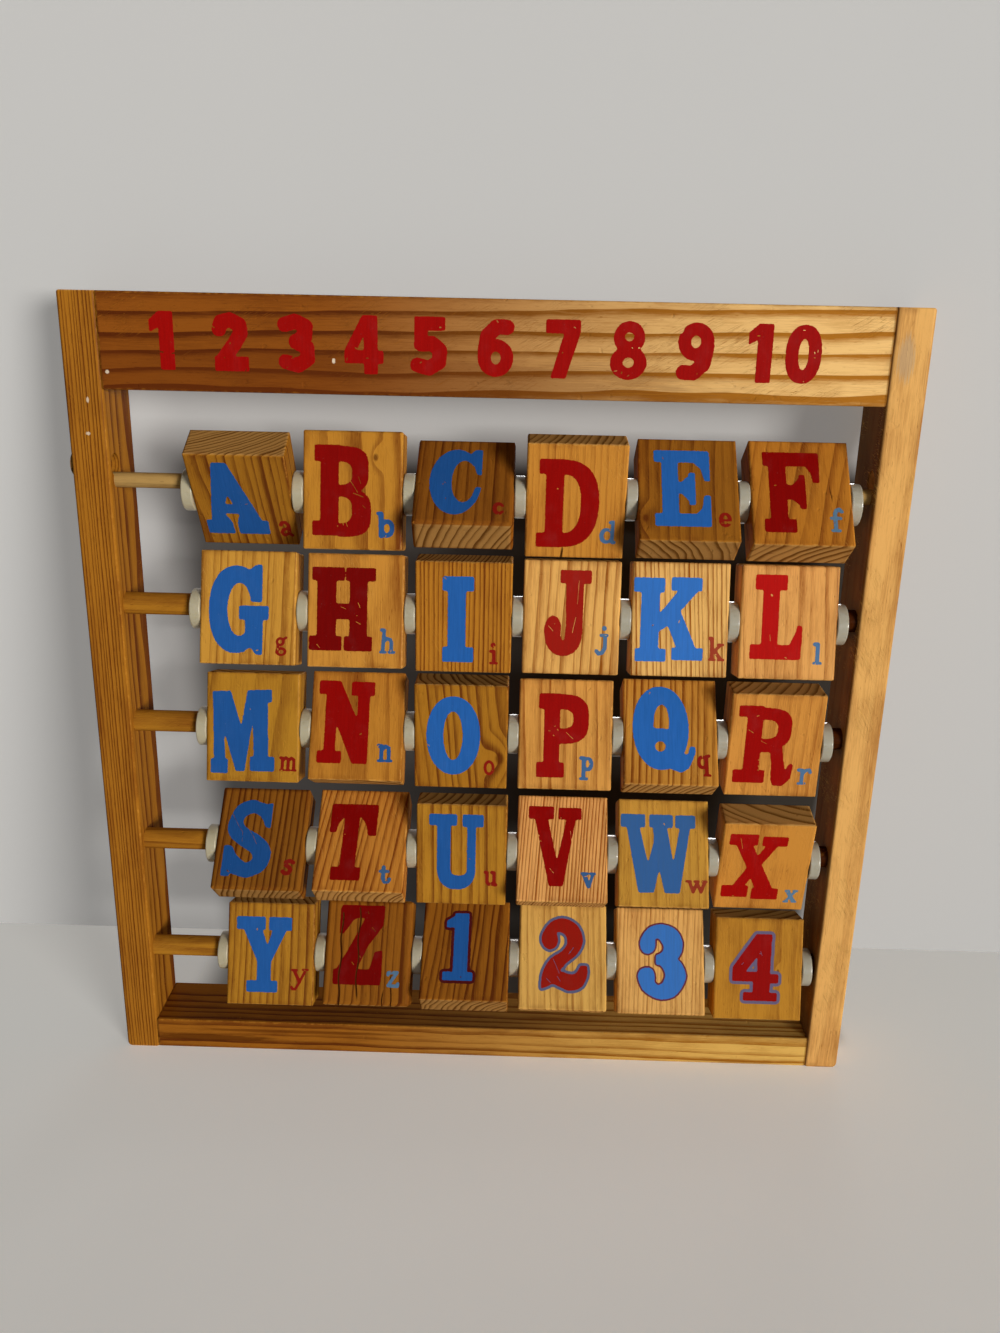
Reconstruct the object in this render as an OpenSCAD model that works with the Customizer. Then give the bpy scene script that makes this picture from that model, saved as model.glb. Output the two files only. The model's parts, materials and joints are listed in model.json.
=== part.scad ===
// Alphabet flip block toy: an upright wooden frame with five dowels, six turning
// blocks on each dowel and loose plastic spacers between the blocks.
// Millimetres. Origin on the ground under the dowels' middle, +X right, +Z up, front to -Y.

/* [Frame] */
// Thickness of the two upright stiles
stile_t = 12.2; // [8:0.1:16]
// Depth of stiles and rails, front to back
frame_d = 24.4; // [20:0.1:32]
// Height of the broad top rail
top_rail_h = 29.7; // [16:0.1:40]
// Thickness of the bottom rail
bottom_rail_h = 12.1; // [8:0.1:18]
// Easing radius on the long edges of the stiles
stile_edge_r = 1.2; // [0.3:0.1:2]
// Easing radius on the long edges of the rails
rail_edge_r = 0.6; // [0.3:0.1:2]
// Corner radius at the top ends of the stiles
top_corner_r = 1.4; // [0.5:0.1:3]
// Corner radius at the worn feet of the stiles
foot_corner_r = 2.2; // [0.5:0.1:4]

/* [Brads] */
// Shank diameter of the brads in the corner joints
brad_d = 1.4; // [1:0.1:2]
// Length of a brad
brad_len = 30; // [20:1:40]
// Head diameter of a brad
brad_head_d = 2.4; // [2:0.1:3.4]
// Thickness of a brad head
brad_head_t = 0.8; // [0.5:0.1:1.2]
// Depth of a brad from the front and from the back of the frame
brad_inset = 5.2; // [3:0.1:7]

/* [Dowels] */
// Diameter of the four original dowels
dowel_d = 7.5; // [5:0.1:8.6]
// Diameter of the thin replacement dowel in the top row
thin_dowel_d = 5; // [3.4:0.1:6.2]
// Distance from the front of the frame to the dowel axes
dowel_inset = 5.7; // [5:0.1:9]
// Height of the top row's old holes over its thin dowel
old_hole_rise = 4.9; // [0.5:0.1:9]
// How far the old dowel's stub stands out of the left stile
stub_proud = 1.2; // [0:0.1:3]
// How far the stub's broken end lies below the stile's inner face
stub_recess = 1.8; // [0.5:0.1:5]
// Slant of the broken end, in degrees
stub_slant = 14; // [0:1:30]

/* [Blocks] */
// Width of a block along its dowel
block_width = 32.2; // [26:0.1:40]
// Height of a block
block_height = 38; // [32:0.5:46]
// Thickness of a block
block_thick = 12.6; // [11:0.1:16]
// Bore through a block
block_bore = 9.2; // [8:0.1:9.8]
// Easing radius on the edges of a crisp block
crisp_r = 0.8; // [0.4:0.1:1.6]
// Easing radius on the edges of a rounded block
round_r = 1.7; // [1:0.1:2.4]
// Depth of the chamfer round the ends of a bore
bore_chamfer = 0.4; // [0.2:0.1:1]

/* [Spacers] */
// Outer diameter of a spacer ring
spacer_d = 13.8; // [12.5:0.1:16]
// Bore of a spacer ring
spacer_bore = 10.4; // [9.6:0.1:11]
// Length of a spacer ring along the dowel
spacer_len = 3.7; // [2.5:0.1:6]
// Rounding of a spacer's rim
spacer_r = 0.5; // [0.4:0.1:1.2]

/* [Rows] */
// Free height between the bottom rail and the sweep of the lowest blocks
bottom_gap = 8.3; // [2:0.1:20]
// Free height between the sweeps of rows 5 and 4
gap_54 = 4.7; // [0.4:0.1:15]
// Free height between the sweeps of rows 4 and 3
gap_43 = 6; // [0.4:0.1:15]
// Free height between the sweeps of rows 3 and 2
gap_32 = 2.9; // [0.4:0.1:15]
// Free height between the sweeps of rows 2 and 1
gap_21 = 0.8; // [0.4:0.1:15]
// Free height between the sweep of the top blocks and the top rail
top_gap = 11.3; // [2:0.1:25]
// Play of a whole row along its dowel
row_play = 26.3; // [6:0.1:40]
// Rest gap from row 1 to the right stile
rest_1 = 3.5; // [0.2:0.1:5]
// Rest gap from row 2 to the right stile
rest_2 = 3.4; // [0.2:0.1:5]
// Rest gap from row 3 to the right stile
rest_3 = 3.8; // [0.2:0.1:5]
// Rest gap from row 4 to the right stile
rest_4 = 3.2; // [0.2:0.1:5]
// Rest gap from row 5 to the right stile
rest_5 = 1.4; // [0.2:0.1:5]

/* [Fits] */
// Radial clearance of a dowel or brad in its glued hole
glue_fit = 0.02; // [0.01:0.01:0.05]
// Clearance over the dowel where a block or spacer hangs on it
hang_fit = 0.05; // [0.02:0.01:0.1]
// Clearance between a block and the spacer beside it
side_fit = 0.05; // [0.02:0.01:0.3]

/* [Hidden] */
$fn = 64;
columns = 6;

// Heights. A block sweeps a circle of radius sweep_r round its bore.
sweep_r = norm([block_height / 2 - crisp_r, block_thick / 2 - crisp_r]) + crisp_r;
z5 = bottom_rail_h + bottom_gap + sweep_r;
z4 = z5 + 2 * sweep_r + gap_54;
z3 = z4 + 2 * sweep_r + gap_43;
z2 = z3 + 2 * sweep_r + gap_32;
z1 = z2 + 2 * sweep_r + gap_21;
axis_z = [z1, z2, z3, z4, z5];
frame_h = z1 + sweep_r + top_gap + top_rail_h;

// Widths. The row is six blocks between seven spacers.
pitch = block_width + spacer_len + 2 * side_fit;
row_len = columns * pitch + spacer_len;
inner_w = row_len + row_play;
frame_w = inner_w + 2 * stile_t;
rest = [rest_1, rest_2, rest_3, rest_4, rest_5];

// Each row hangs on its dowel by the bores, so the dowel lies above their axis.
row_dowel_d = [thin_dowel_d, dowel_d, dowel_d, dowel_d, dowel_d];
function dowel_z(row) = axis_z[row] + (block_bore - row_dowel_d[row]) / 2 - hang_fit;
function spacer_z(row) = dowel_z(row) - (spacer_bore - row_dowel_d[row]) / 2 + hang_fit;
old_hole_z = dowel_z(0) + old_hole_rise;

// The dowel axes lie at y = 0, and the frame stands round them.
front_y = -dowel_inset;
back_y = front_y + frame_d;
mid_y = front_y + frame_d / 2;

// Left end of a row's first spacer, and the middle of a block in it.
function row_x(row) = inner_w / 2 - rest[row] - row_len;
function block_mid(row, col) = row_x(row) + spacer_len + side_fit + col * pitch + block_width / 2;

// Tones of wood and plastic
pine = [0.85, 0.62, 0.33];
pine_dark = [0.66, 0.42, 0.18];
pine_pale = [0.90, 0.72, 0.45];
cream = [0.88, 0.84, 0.72];
steel = [0.55, 0.55, 0.56];

// Rectangle about the origin with eased corners
module eased_rect(w, h, r) {
    square([w - 2 * r, h], center = true);
    square([w, h - 2 * r], center = true);
    for (x = [-1, 1], y = [-1, 1])
        translate([x * (w / 2 - r), y * (h / 2 - r)]) circle(r = r);
}

// Solid rod along X, centred
module rod_x(d, len) {
    rotate([0, 90, 0]) cylinder(d = d, h = len, center = true);
}

// The brads of one side, at +X. Their holes are larger by cut all round, and start
// that much outside the face.
module brad_set(cut) {
    heights = [bottom_rail_h / 2, frame_h - top_rail_h / 2];
    for (z = heights, y = [front_y + brad_inset, back_y - brad_inset])
        translate([frame_w / 2 + cut, y, z]) rotate([0, -90, 0]) {
            cylinder(d = brad_d + 2 * cut, h = brad_len + 2 * cut);
            cylinder(d = brad_head_d + 2 * cut, h = brad_head_t + 2 * cut);
        }
}

// One stile at +X: eased along its length, with rounded outer corners at both ends
module stile() {
    mid = frame_w / 2 - stile_t / 2;
    difference() {
        intersection() {
            translate([mid, mid_y, 0]) linear_extrude(frame_h)
                eased_rect(stile_t, frame_d, stile_edge_r);
            translate([0, back_y, 0]) rotate([90, 0, 0]) linear_extrude(frame_d)
                stile_outline();
        }
        for (row = [0:4])
            translate([mid, 0, dowel_z(row)])
                rod_x(row_dowel_d[row] + 2 * glue_fit, stile_t + 2);
        translate([mid, 0, old_hole_z]) rod_x(dowel_d + 2 * glue_fit, stile_t + 2);
        brad_set(glue_fit);
    }
}

module stile_outline() {
    x0 = frame_w / 2 - stile_t;
    x1 = frame_w / 2;
    translate([x0, 0]) square([stile_t - foot_corner_r, frame_h]);
    translate([x0, foot_corner_r]) square([stile_t, frame_h - foot_corner_r - top_corner_r]);
    translate([x0, foot_corner_r]) square([stile_t - top_corner_r, frame_h - foot_corner_r]);
    translate([x1 - foot_corner_r, foot_corner_r]) circle(r = foot_corner_r);
    translate([x1 - top_corner_r, frame_h - top_corner_r]) circle(r = top_corner_r);
}

// What is left of the top row's first dowel: a stub in the left stile, broken off on a
// slant and bitten into from below by the hole of the thin dowel
module stub() {
    x0 = -frame_w / 2 - stub_proud;
    x1 = -inner_w / 2 - stub_recess;
    difference() {
        translate([(x0 + x1) / 2, 0, old_hole_z]) rod_x(dowel_d, x1 - x0);
        translate([0, 0, dowel_z(0)]) rod_x(thin_dowel_d + 2 * glue_fit, frame_w + 20);
        translate([x1, 0, old_hole_z + dowel_d / 2]) rotate([0, stub_slant, 0])
            translate([0, -dowel_d, -2 * dowel_d]) cube([dowel_d, 2 * dowel_d, 3 * dowel_d]);
    }
}

module left_stile() color(pine) mirror([1, 0, 0]) stile();
module right_stile() color(pine_pale) stile();

// A rail between the stiles, from height z
module rail(z, h) {
    difference() {
        translate([-inner_w / 2, mid_y, z + h / 2]) rotate([90, 0, 90])
            linear_extrude(inner_w) eased_rect(frame_d, h, rail_edge_r);
        brad_set(glue_fit);
        mirror([1, 0, 0]) brad_set(glue_fit);
    }
}

module top_rail() color(pine) rail(frame_h - top_rail_h, top_rail_h);
module bottom_rail() color(pine_dark) rail(0, bottom_rail_h);
module left_brads() color(steel) mirror([1, 0, 0]) brad_set(0);
module right_brads() color(steel) brad_set(0);

module dowel(row) {
    translate([0, 0, dowel_z(row)]) rod_x(row_dowel_d[row], frame_w);
}

module dowel_1() color(pine_pale) dowel(0);
module dowel_2() color(pine_dark) dowel(1);
module dowel_3() color(pine_dark) dowel(2);
module dowel_4() color(pine_dark) dowel(3);
module dowel_5() color(pine_dark) dowel(4);
module dowel_stub() color(pine_dark) stub();

// Seven rings with rounded rims, hanging on the dowel between the blocks
module spacer_row(row) {
    wall = (spacer_d - spacer_bore) / 2;
    for (i = [0:columns])
        translate([row_x(row) + i * pitch, 0, spacer_z(row)]) rotate([0, 90, 0])
            rotate_extrude() translate([spacer_bore / 2, 0]) {
                square([wall - spacer_r, spacer_len]);
                translate([0, spacer_r]) square([wall, spacer_len - 2 * spacer_r]);
                for (y = [spacer_r, spacer_len - spacer_r])
                    translate([wall - spacer_r, y]) circle(r = spacer_r);
            }
}

module spacers_1() color(cream) spacer_row(0);
module spacers_2() color(cream) spacer_row(1);
module spacers_3() color(cream) spacer_row(2);
module spacers_4() color(cream) spacer_row(3);
module spacers_5() color(cream) spacer_row(4);

// A turning block: eased on all twelve edges, bored along X with chamfered mouths,
// and turned about the bore by tilt, where positive brings its top forward
module flip_block(row, col, tilt, r) {
    translate([block_mid(row, col), 0, axis_z[row]]) rotate([tilt, 0, 0])
        difference() {
            intersection() {
                translate([0, 0, -block_height / 2]) linear_extrude(block_height)
                    eased_rect(block_width, block_thick, r);
                translate([0, block_thick / 2, 0]) rotate([90, 0, 0]) linear_extrude(block_thick)
                    eased_rect(block_width, block_height, r);
                translate([-block_width / 2, 0, 0]) rotate([90, 0, 90]) linear_extrude(block_width)
                    eased_rect(block_thick, block_height, r);
            }
            rod_x(block_bore, block_width + 2);
            for (s = [-1, 1])
                translate([s * block_width / 2, 0, 0]) rotate([0, -s * 90, 0])
                    cylinder(r1 = block_bore / 2 + bore_chamfer, r2 = block_bore / 2, h = bore_chamfer);
        }
}

module block_a() color(pine) flip_block(0, 0, 32, crisp_r);
module block_b() color(pine) flip_block(0, 1, -11, crisp_r);
module block_c() color(pine_dark) flip_block(0, 2, -53, round_r);
module block_d() color(pine) flip_block(0, 3, 8, crisp_r);
module block_e() color(pine_dark) flip_block(0, 4, -40, crisp_r);
module block_f() color(pine) flip_block(0, 5, -38, crisp_r);
module block_g() color(pine) flip_block(1, 0, -16, crisp_r);
module block_h() color(pine) flip_block(1, 1, -14, crisp_r);
module block_i() color(pine) flip_block(1, 2, -1, crisp_r);
module block_j() color(pine_pale) flip_block(1, 3, -10, crisp_r);
module block_k() color(pine_pale) flip_block(1, 4, -12, crisp_r);
module block_l() color(pine) flip_block(1, 5, -11, crisp_r);
module block_m() color(pine) flip_block(2, 0, -14, crisp_r);
module block_n() color(pine) flip_block(2, 1, -29, crisp_r);
module block_o() color(pine) flip_block(2, 2, 0, crisp_r);
module block_p() color(pine) flip_block(2, 3, -18, crisp_r);
module block_q() color(pine) flip_block(2, 4, -37, crisp_r);
module block_r() color(pine) flip_block(2, 5, 2, crisp_r);
module block_s() color(pine_dark) flip_block(3, 0, -43, round_r);
module block_t() color(pine) flip_block(3, 1, -45, crisp_r);
module block_u() color(pine) flip_block(3, 2, -5, crisp_r);
module block_v() color(pine) flip_block(3, 3, -36, crisp_r);
module block_w() color(pine_pale) flip_block(3, 4, -30, crisp_r);
module block_x() color(pine) flip_block(3, 5, 11, crisp_r);
module block_y() color(pine) flip_block(4, 0, -17, crisp_r);
module block_z() color(pine_dark) flip_block(4, 1, -32, round_r);
module block_1() color(pine_dark) flip_block(4, 2, -51, crisp_r);
module block_2() color(pine_pale) flip_block(4, 3, -37, crisp_r);
module block_3() color(pine_pale) flip_block(4, 4, -33, crisp_r);
module block_4() color(pine) flip_block(4, 5, -15, crisp_r);

left_stile();
right_stile();
top_rail();
bottom_rail();
left_brads();
right_brads();
dowel_1();
dowel_2();
dowel_3();
dowel_4();
dowel_5();
dowel_stub();
spacers_1();
spacers_2();
spacers_3();
spacers_4();
spacers_5();
block_a();
block_b();
block_c();
block_d();
block_e();
block_f();
block_g();
block_h();
block_i();
block_j();
block_k();
block_l();
block_m();
block_n();
block_o();
block_p();
block_q();
block_r();
block_s();
block_t();
block_u();
block_v();
block_w();
block_x();
block_y();
block_z();
block_1();
block_2();
block_3();
block_4();
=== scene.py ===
"""Looks of the alphabet flip block toy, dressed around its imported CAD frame.

Everything is in metres in the CAD's own frame: +X right, +Z up, fronts to -Y. Sizes of painted
figures are written in millimetres on the face that carries them.
"""
import sys

import copy
import json
import math
from collections import namedtuple
from functools import partial

import bmesh
import bpy
import numpy as np
from mathutils import Matrix, Vector
from mathutils.geometry import tessellate_polygon
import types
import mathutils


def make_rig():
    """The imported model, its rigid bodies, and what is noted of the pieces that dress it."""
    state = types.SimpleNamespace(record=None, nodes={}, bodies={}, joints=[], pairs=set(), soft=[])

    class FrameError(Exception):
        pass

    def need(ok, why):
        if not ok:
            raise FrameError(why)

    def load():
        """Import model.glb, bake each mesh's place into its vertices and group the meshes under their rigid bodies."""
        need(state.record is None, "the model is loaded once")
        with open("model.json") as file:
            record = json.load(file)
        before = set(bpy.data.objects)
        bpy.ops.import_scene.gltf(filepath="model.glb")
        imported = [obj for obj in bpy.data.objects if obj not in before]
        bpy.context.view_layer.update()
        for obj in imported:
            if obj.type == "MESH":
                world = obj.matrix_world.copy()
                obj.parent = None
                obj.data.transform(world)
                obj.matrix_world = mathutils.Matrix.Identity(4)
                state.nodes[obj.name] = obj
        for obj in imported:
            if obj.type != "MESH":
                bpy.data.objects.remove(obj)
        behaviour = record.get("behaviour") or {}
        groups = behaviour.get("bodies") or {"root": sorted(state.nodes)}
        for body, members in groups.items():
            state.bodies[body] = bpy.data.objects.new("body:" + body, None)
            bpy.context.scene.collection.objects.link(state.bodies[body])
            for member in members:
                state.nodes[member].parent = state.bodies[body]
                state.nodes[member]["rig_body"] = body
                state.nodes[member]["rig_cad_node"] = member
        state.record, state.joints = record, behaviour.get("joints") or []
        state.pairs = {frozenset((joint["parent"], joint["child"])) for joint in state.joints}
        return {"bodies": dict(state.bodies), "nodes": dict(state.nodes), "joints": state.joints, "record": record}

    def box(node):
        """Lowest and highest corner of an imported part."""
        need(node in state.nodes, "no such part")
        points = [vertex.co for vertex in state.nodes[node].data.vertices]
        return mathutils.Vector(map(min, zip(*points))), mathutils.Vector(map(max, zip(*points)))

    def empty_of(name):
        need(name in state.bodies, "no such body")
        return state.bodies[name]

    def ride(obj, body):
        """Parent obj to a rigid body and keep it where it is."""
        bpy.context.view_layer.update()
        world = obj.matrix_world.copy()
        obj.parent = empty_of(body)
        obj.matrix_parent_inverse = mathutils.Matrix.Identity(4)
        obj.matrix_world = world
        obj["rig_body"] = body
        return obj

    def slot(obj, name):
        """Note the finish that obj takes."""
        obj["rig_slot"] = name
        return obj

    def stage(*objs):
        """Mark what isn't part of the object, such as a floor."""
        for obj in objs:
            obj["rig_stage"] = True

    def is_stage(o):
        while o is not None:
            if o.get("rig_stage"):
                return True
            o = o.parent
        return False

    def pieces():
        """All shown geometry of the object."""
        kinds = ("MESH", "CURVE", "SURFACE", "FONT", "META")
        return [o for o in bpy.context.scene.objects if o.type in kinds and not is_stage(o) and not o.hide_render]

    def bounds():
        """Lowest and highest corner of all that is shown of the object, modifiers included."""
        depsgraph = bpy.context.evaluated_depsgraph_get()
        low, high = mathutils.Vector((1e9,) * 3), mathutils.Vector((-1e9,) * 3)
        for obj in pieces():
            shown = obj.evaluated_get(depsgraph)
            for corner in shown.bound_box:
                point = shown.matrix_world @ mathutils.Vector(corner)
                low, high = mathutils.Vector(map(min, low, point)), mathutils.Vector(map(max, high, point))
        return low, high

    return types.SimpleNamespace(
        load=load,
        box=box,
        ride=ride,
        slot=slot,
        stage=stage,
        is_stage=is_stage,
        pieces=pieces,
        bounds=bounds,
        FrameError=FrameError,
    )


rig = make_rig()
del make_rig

MM = 0.001
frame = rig.load()
nodes = frame["nodes"]
cad_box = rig.bounds()

# Camera, solved from the frame's corners in the photograph
PHOTO_HEIGHT_PX = 1333
FOCAL_PX = 1099.8
SENSOR = 36.0
EYE = Vector((9.73, -360.0, 268.8)) * MM
YAW, PITCH, ROLL = 0.88, 17.66, 1.23


def placed(name, data):
    """A new object of the scene."""
    thing = bpy.data.objects.new(name, data)
    bpy.context.scene.collection.objects.link(thing)
    return thing


def make_camera():
    data = bpy.data.cameras.new("camera")
    data.sensor_fit = "AUTO"
    data.sensor_width = SENSOR
    data.lens = FOCAL_PX * SENSOR / PHOTO_HEIGHT_PX
    data.clip_start = 0.01
    camera = placed("camera", data)
    camera.matrix_world = (
        Matrix.Translation(EYE)
        @ Matrix.Rotation(math.radians(YAW), 4, "Z")
        @ Matrix.Rotation(math.radians(90 - PITCH), 4, "X")
        @ Matrix.Rotation(math.radians(ROLL), 4, "Z")
    )
    bpy.context.scene.camera = camera


make_camera()


class Signal:
    """The output of a shader node. Arithmetic with it adds Math nodes to its material."""

    def __init__(self, m, socket):
        self.m = m
        self.socket = socket

    def __add__(self, other):
        return self.m.math("ADD", self, other)

    def __sub__(self, other):
        return self.m.math("SUBTRACT", self, other)

    def __rsub__(self, other):
        return self.m.math("SUBTRACT", other, self)

    def __mul__(self, other):
        return self.m.math("MULTIPLY", self, other)

    def __truediv__(self, other):
        return self.m.math("DIVIDE", self, other)

    def __pow__(self, other):
        return self.m.math("POWER", self, other)

    def __abs__(self):
        return self.m.math("ABSOLUTE", self)


class Material:
    """One node material. Its calls take signals or plain values and return signals."""

    def __init__(self, name):
        self.data = bpy.data.materials.new(name)
        self.data.use_nodes = True
        self.tree = self.data.node_tree
        self.shader = self.tree.nodes["Principled BSDF"]

    def feed(self, socket, value):
        if isinstance(value, Signal):
            self.tree.links.new(value.socket, socket)
        else:
            socket.default_value = value

    def node(self, kind, *values, out=0, **settings):
        node = self.tree.nodes.new(kind)
        for key, value in settings.items():
            setattr(node, key, value)
        for socket, value in zip(node.inputs, values):
            if value is not None:
                self.feed(socket, value)
        return Signal(self, node.outputs[out])

    def math(self, operation, *values):
        return self.node("ShaderNodeMath", *values, operation=operation)

    def least(self, first, second):
        return self.math("MINIMUM", first, second)

    def most(self, first, second):
        """The greater of two signals; a first one of None counts for nothing."""
        return second if first is None else self.math("MAXIMUM", first, second)

    def clamp(self, value):
        return self.node("ShaderNodeClamp", value)

    def vector(self, operation, *values):
        return self.node("ShaderNodeVectorMath", *values, operation=operation)

    def length(self, vector):
        return self.node("ShaderNodeVectorMath", vector, operation="LENGTH", out=1)

    def split(self, vector):
        node = self.tree.nodes.new("ShaderNodeSeparateXYZ")
        self.feed(node.inputs[0], vector)
        return [Signal(self, output) for output in node.outputs]

    def join(self, x, y, z):
        return self.node("ShaderNodeCombineXYZ", x, y, z)

    def step(self, value, start, end, low=0.0, high=1.0):
        """Smooth step from low at start to high at end."""
        return self.node(
            "ShaderNodeMapRange", value, start, end, low, high, interpolation_type="SMOOTHSTEP"
        )

    def mix(self, amount, first, second):
        node = self.tree.nodes.new("ShaderNodeMix")
        node.data_type = "RGBA"
        self.feed(node.inputs[0], amount)
        self.feed(node.inputs[6], first)
        self.feed(node.inputs[7], second)
        return Signal(self, node.outputs[2])

    def noise(self, where, size, seed, detail=2.0, colour=False):
        """Noise whose features measure about size = (x, y, z) in where's own units."""
        spot = self.vector("MULTIPLY", where, tuple(1 / s for s in size))
        spot = self.vector("ADD", spot, (seed * 7.31, seed * 3.17, seed * 5.83))
        return self.node(
            "ShaderNodeTexNoise", spot, None, 1.0, detail, 0.55, out=1 if colour else 0
        )

    def place(self, centre=(0, 0, 0), turn=(0, 0, 0)):
        """Local millimetres of a piece about centre, turned by turn = degrees about X, Y, Z."""
        node = self.tree.nodes.new("ShaderNodeTexCoord")
        mapping = self.tree.nodes.new("ShaderNodeMapping")
        mapping.vector_type = "TEXTURE"
        self.tree.links.new(node.outputs["Object"], mapping.inputs["Vector"])
        mapping.inputs["Location"].default_value = centre
        mapping.inputs["Rotation"].default_value = [math.radians(a) for a in turn]
        mapping.inputs["Scale"].default_value = (MM, MM, MM)
        return Signal(self, mapping.outputs[0])

    def bump(self, height, distance_mm):
        node = self.tree.nodes.new("ShaderNodeBump")
        node.inputs["Strength"].default_value = 1.0
        node.inputs["Distance"].default_value = distance_mm * MM
        self.feed(node.inputs["Height"], height)
        self.tree.links.new(node.outputs[0], self.shader.inputs["Normal"])

    def glow_to_camera(self, colour, strength):
        """A pale backdrop: its own colour once more, for camera, glossy and transmission rays."""
        seen = Signal(self, seen_rays(self.tree))
        self.set(Emission_Color=tuple(colour) + (1,), Emission_Strength=seen * strength)

    def set(self, **values):
        for key, value in values.items():
            self.feed(self.shader.inputs[key.replace("_", " ")], value)


def seen_rays(tree):
    """1 for the rays that a backdrop glows to: camera, glossy and transmission rays."""
    path = tree.nodes.new("ShaderNodeLightPath").outputs
    seen = path["Is Camera Ray"]
    for kind in ("Is Glossy Ray", "Is Transmission Ray"):
        either = tree.nodes.new("ShaderNodeMath")
        either.operation = "MAXIMUM"
        tree.links.new(seen, either.inputs[0])
        tree.links.new(path[kind], either.inputs[1])
        seen = either.outputs[0]
    return seen


def amber(value, hue=1.0):
    """Varnished pine of one lightness: the darker it is, the redder and the less blue."""
    green = hue * (0.15 + 0.52 * value)
    blue = hue * (0.03 + 0.65 * max(0.0, value - 0.35) ** 2)
    return (value, value * green, value * blue, 1)


def bare(value):
    """Bare pale wood of one lightness."""
    return (value, value * 0.60, value * 0.19, 1)


# Grain of a wooden piece. value: lightness; ring: width of a year's growth in mm; pith: where the
# tree's heart lies from the piece's middle, in mm across and behind; lean: slant of the grain;
# taper: spread of the rings along the piece; bend: waviness in mm; contrast: depth of the dark
# bands; seed: start of the noises.
Grain = namedtuple("Grain", "value ring pith lean taper bend contrast seed")


# A crack wanders sideways along the grain as a wave: its reach in mm and its radians per mm
CRACK_SWAY, CRACK_WAVE = 0.3, 0.45


def crack_path(x, z):
    """How far a crack that starts out at x wanders sideways at height z, in mm."""
    return CRACK_SWAY * math.sin(CRACK_WAVE * z + x)


def year_rings(m, p, grain, knots):
    """The late wood of the year's rings, and the knots' dark hearts or None."""
    x, y, z = m.split(p)
    drift = m.noise(p, (15, 15, 70), grain.seed, colour=True)
    drift_x, drift_y, _ = m.split(m.vector("SUBTRACT", drift, (0.5, 0.5, 0.5)))
    across = x - grain.pith[0] - z * grain.lean + drift_x * (3 * grain.bend)
    deep = y - grain.pith[1] + drift_y * (3 * grain.bend)
    radius = m.length(m.join(across, deep, 0.0)) + z * grain.taper
    hearts = None
    for knot_x, knot_z, knot_r in knots:
        far = m.length(m.join(x - knot_x, 0.0, (z - knot_z) * 0.7))
        radius = radius + m.step(far, knot_r * 4.5, 0.0) * (knot_r * 2.2)
        hearts = m.most(hearts, m.step(far, knot_r, knot_r * 0.4))

    # Each ring darkens slowly to its late wood and ends sharply; no two are equally dark
    rings = radius / grain.ring
    uneven = m.noise(m.join(rings * 0.45, grain.seed * 1.7, 0.0), (1, 1, 1), grain.seed)
    rings = rings + uneven * 1.8
    phase = m.math("FRACT", rings)
    chance = m.node("ShaderNodeTexWhiteNoise", None, m.math("FLOOR", rings), noise_dimensions="1D")
    late = m.step(phase, 0.05, 0.95) ** 3.0 * m.step(phase, 1.0, 0.955)
    return late * (chance * 0.8 + 0.65), hearts


def end_grain(m, grain, late, strand):
    """Colour of the wood where it is cut across, duller than its sides."""
    pale = 0.28 + 0.45 * grain.value
    deep = 0.10 + 0.12 * grain.value
    lines = m.clamp((strand - 0.5) * 0.8 + late * 1.1)
    return m.mix(lines, (pale, 0.52 * pale, 0.15 * pale, 1), (deep, 0.40 * deep, 0.08 * deep, 1))


def drying_cracks(m, x, z, cracks):
    """How open a crack is at each spot, from 0 to 1, or None without cracks."""
    gaps = None
    for crack_x, start, end, width in cracks:
        low, high = min(start, end), max(start, end)
        sway = m.math("SINE", z * CRACK_WAVE + crack_x)
        off = x - crack_x - sway * CRACK_SWAY
        along = m.step(z, low - 1.5, low + 1.5) * m.step(z, high + 1.5, high - 1.5)
        gaps = m.most(gaps, m.step(abs(off), width, width * 0.35) * along)
    return gaps


def edge_distance(m, spot, half):
    """Distance in mm to the nearest edge, which is how near the second nearest face is."""
    inset = [size - abs(axis) for axis, size in zip(spot, half)]
    near, far = m.least(inset[0], inset[1]), m.most(inset[0], inset[1])
    return m.most(near, m.least(far, inset[2]))


def fine_scratches(m, p, seed):
    """Fine slanting scratches, in patches."""
    x, y, z = m.split(p)
    lines = m.noise(m.join(x + z * 0.55, y, z - x * 0.55), (0.5, 6, 16), seed + 13, 1.0)
    patch = m.step(m.noise(p, (14, 14, 20), seed + 17), 0.5, 0.62)
    return m.step(abs(lines - 0.5), 0.02, 0.004) * patch


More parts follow.
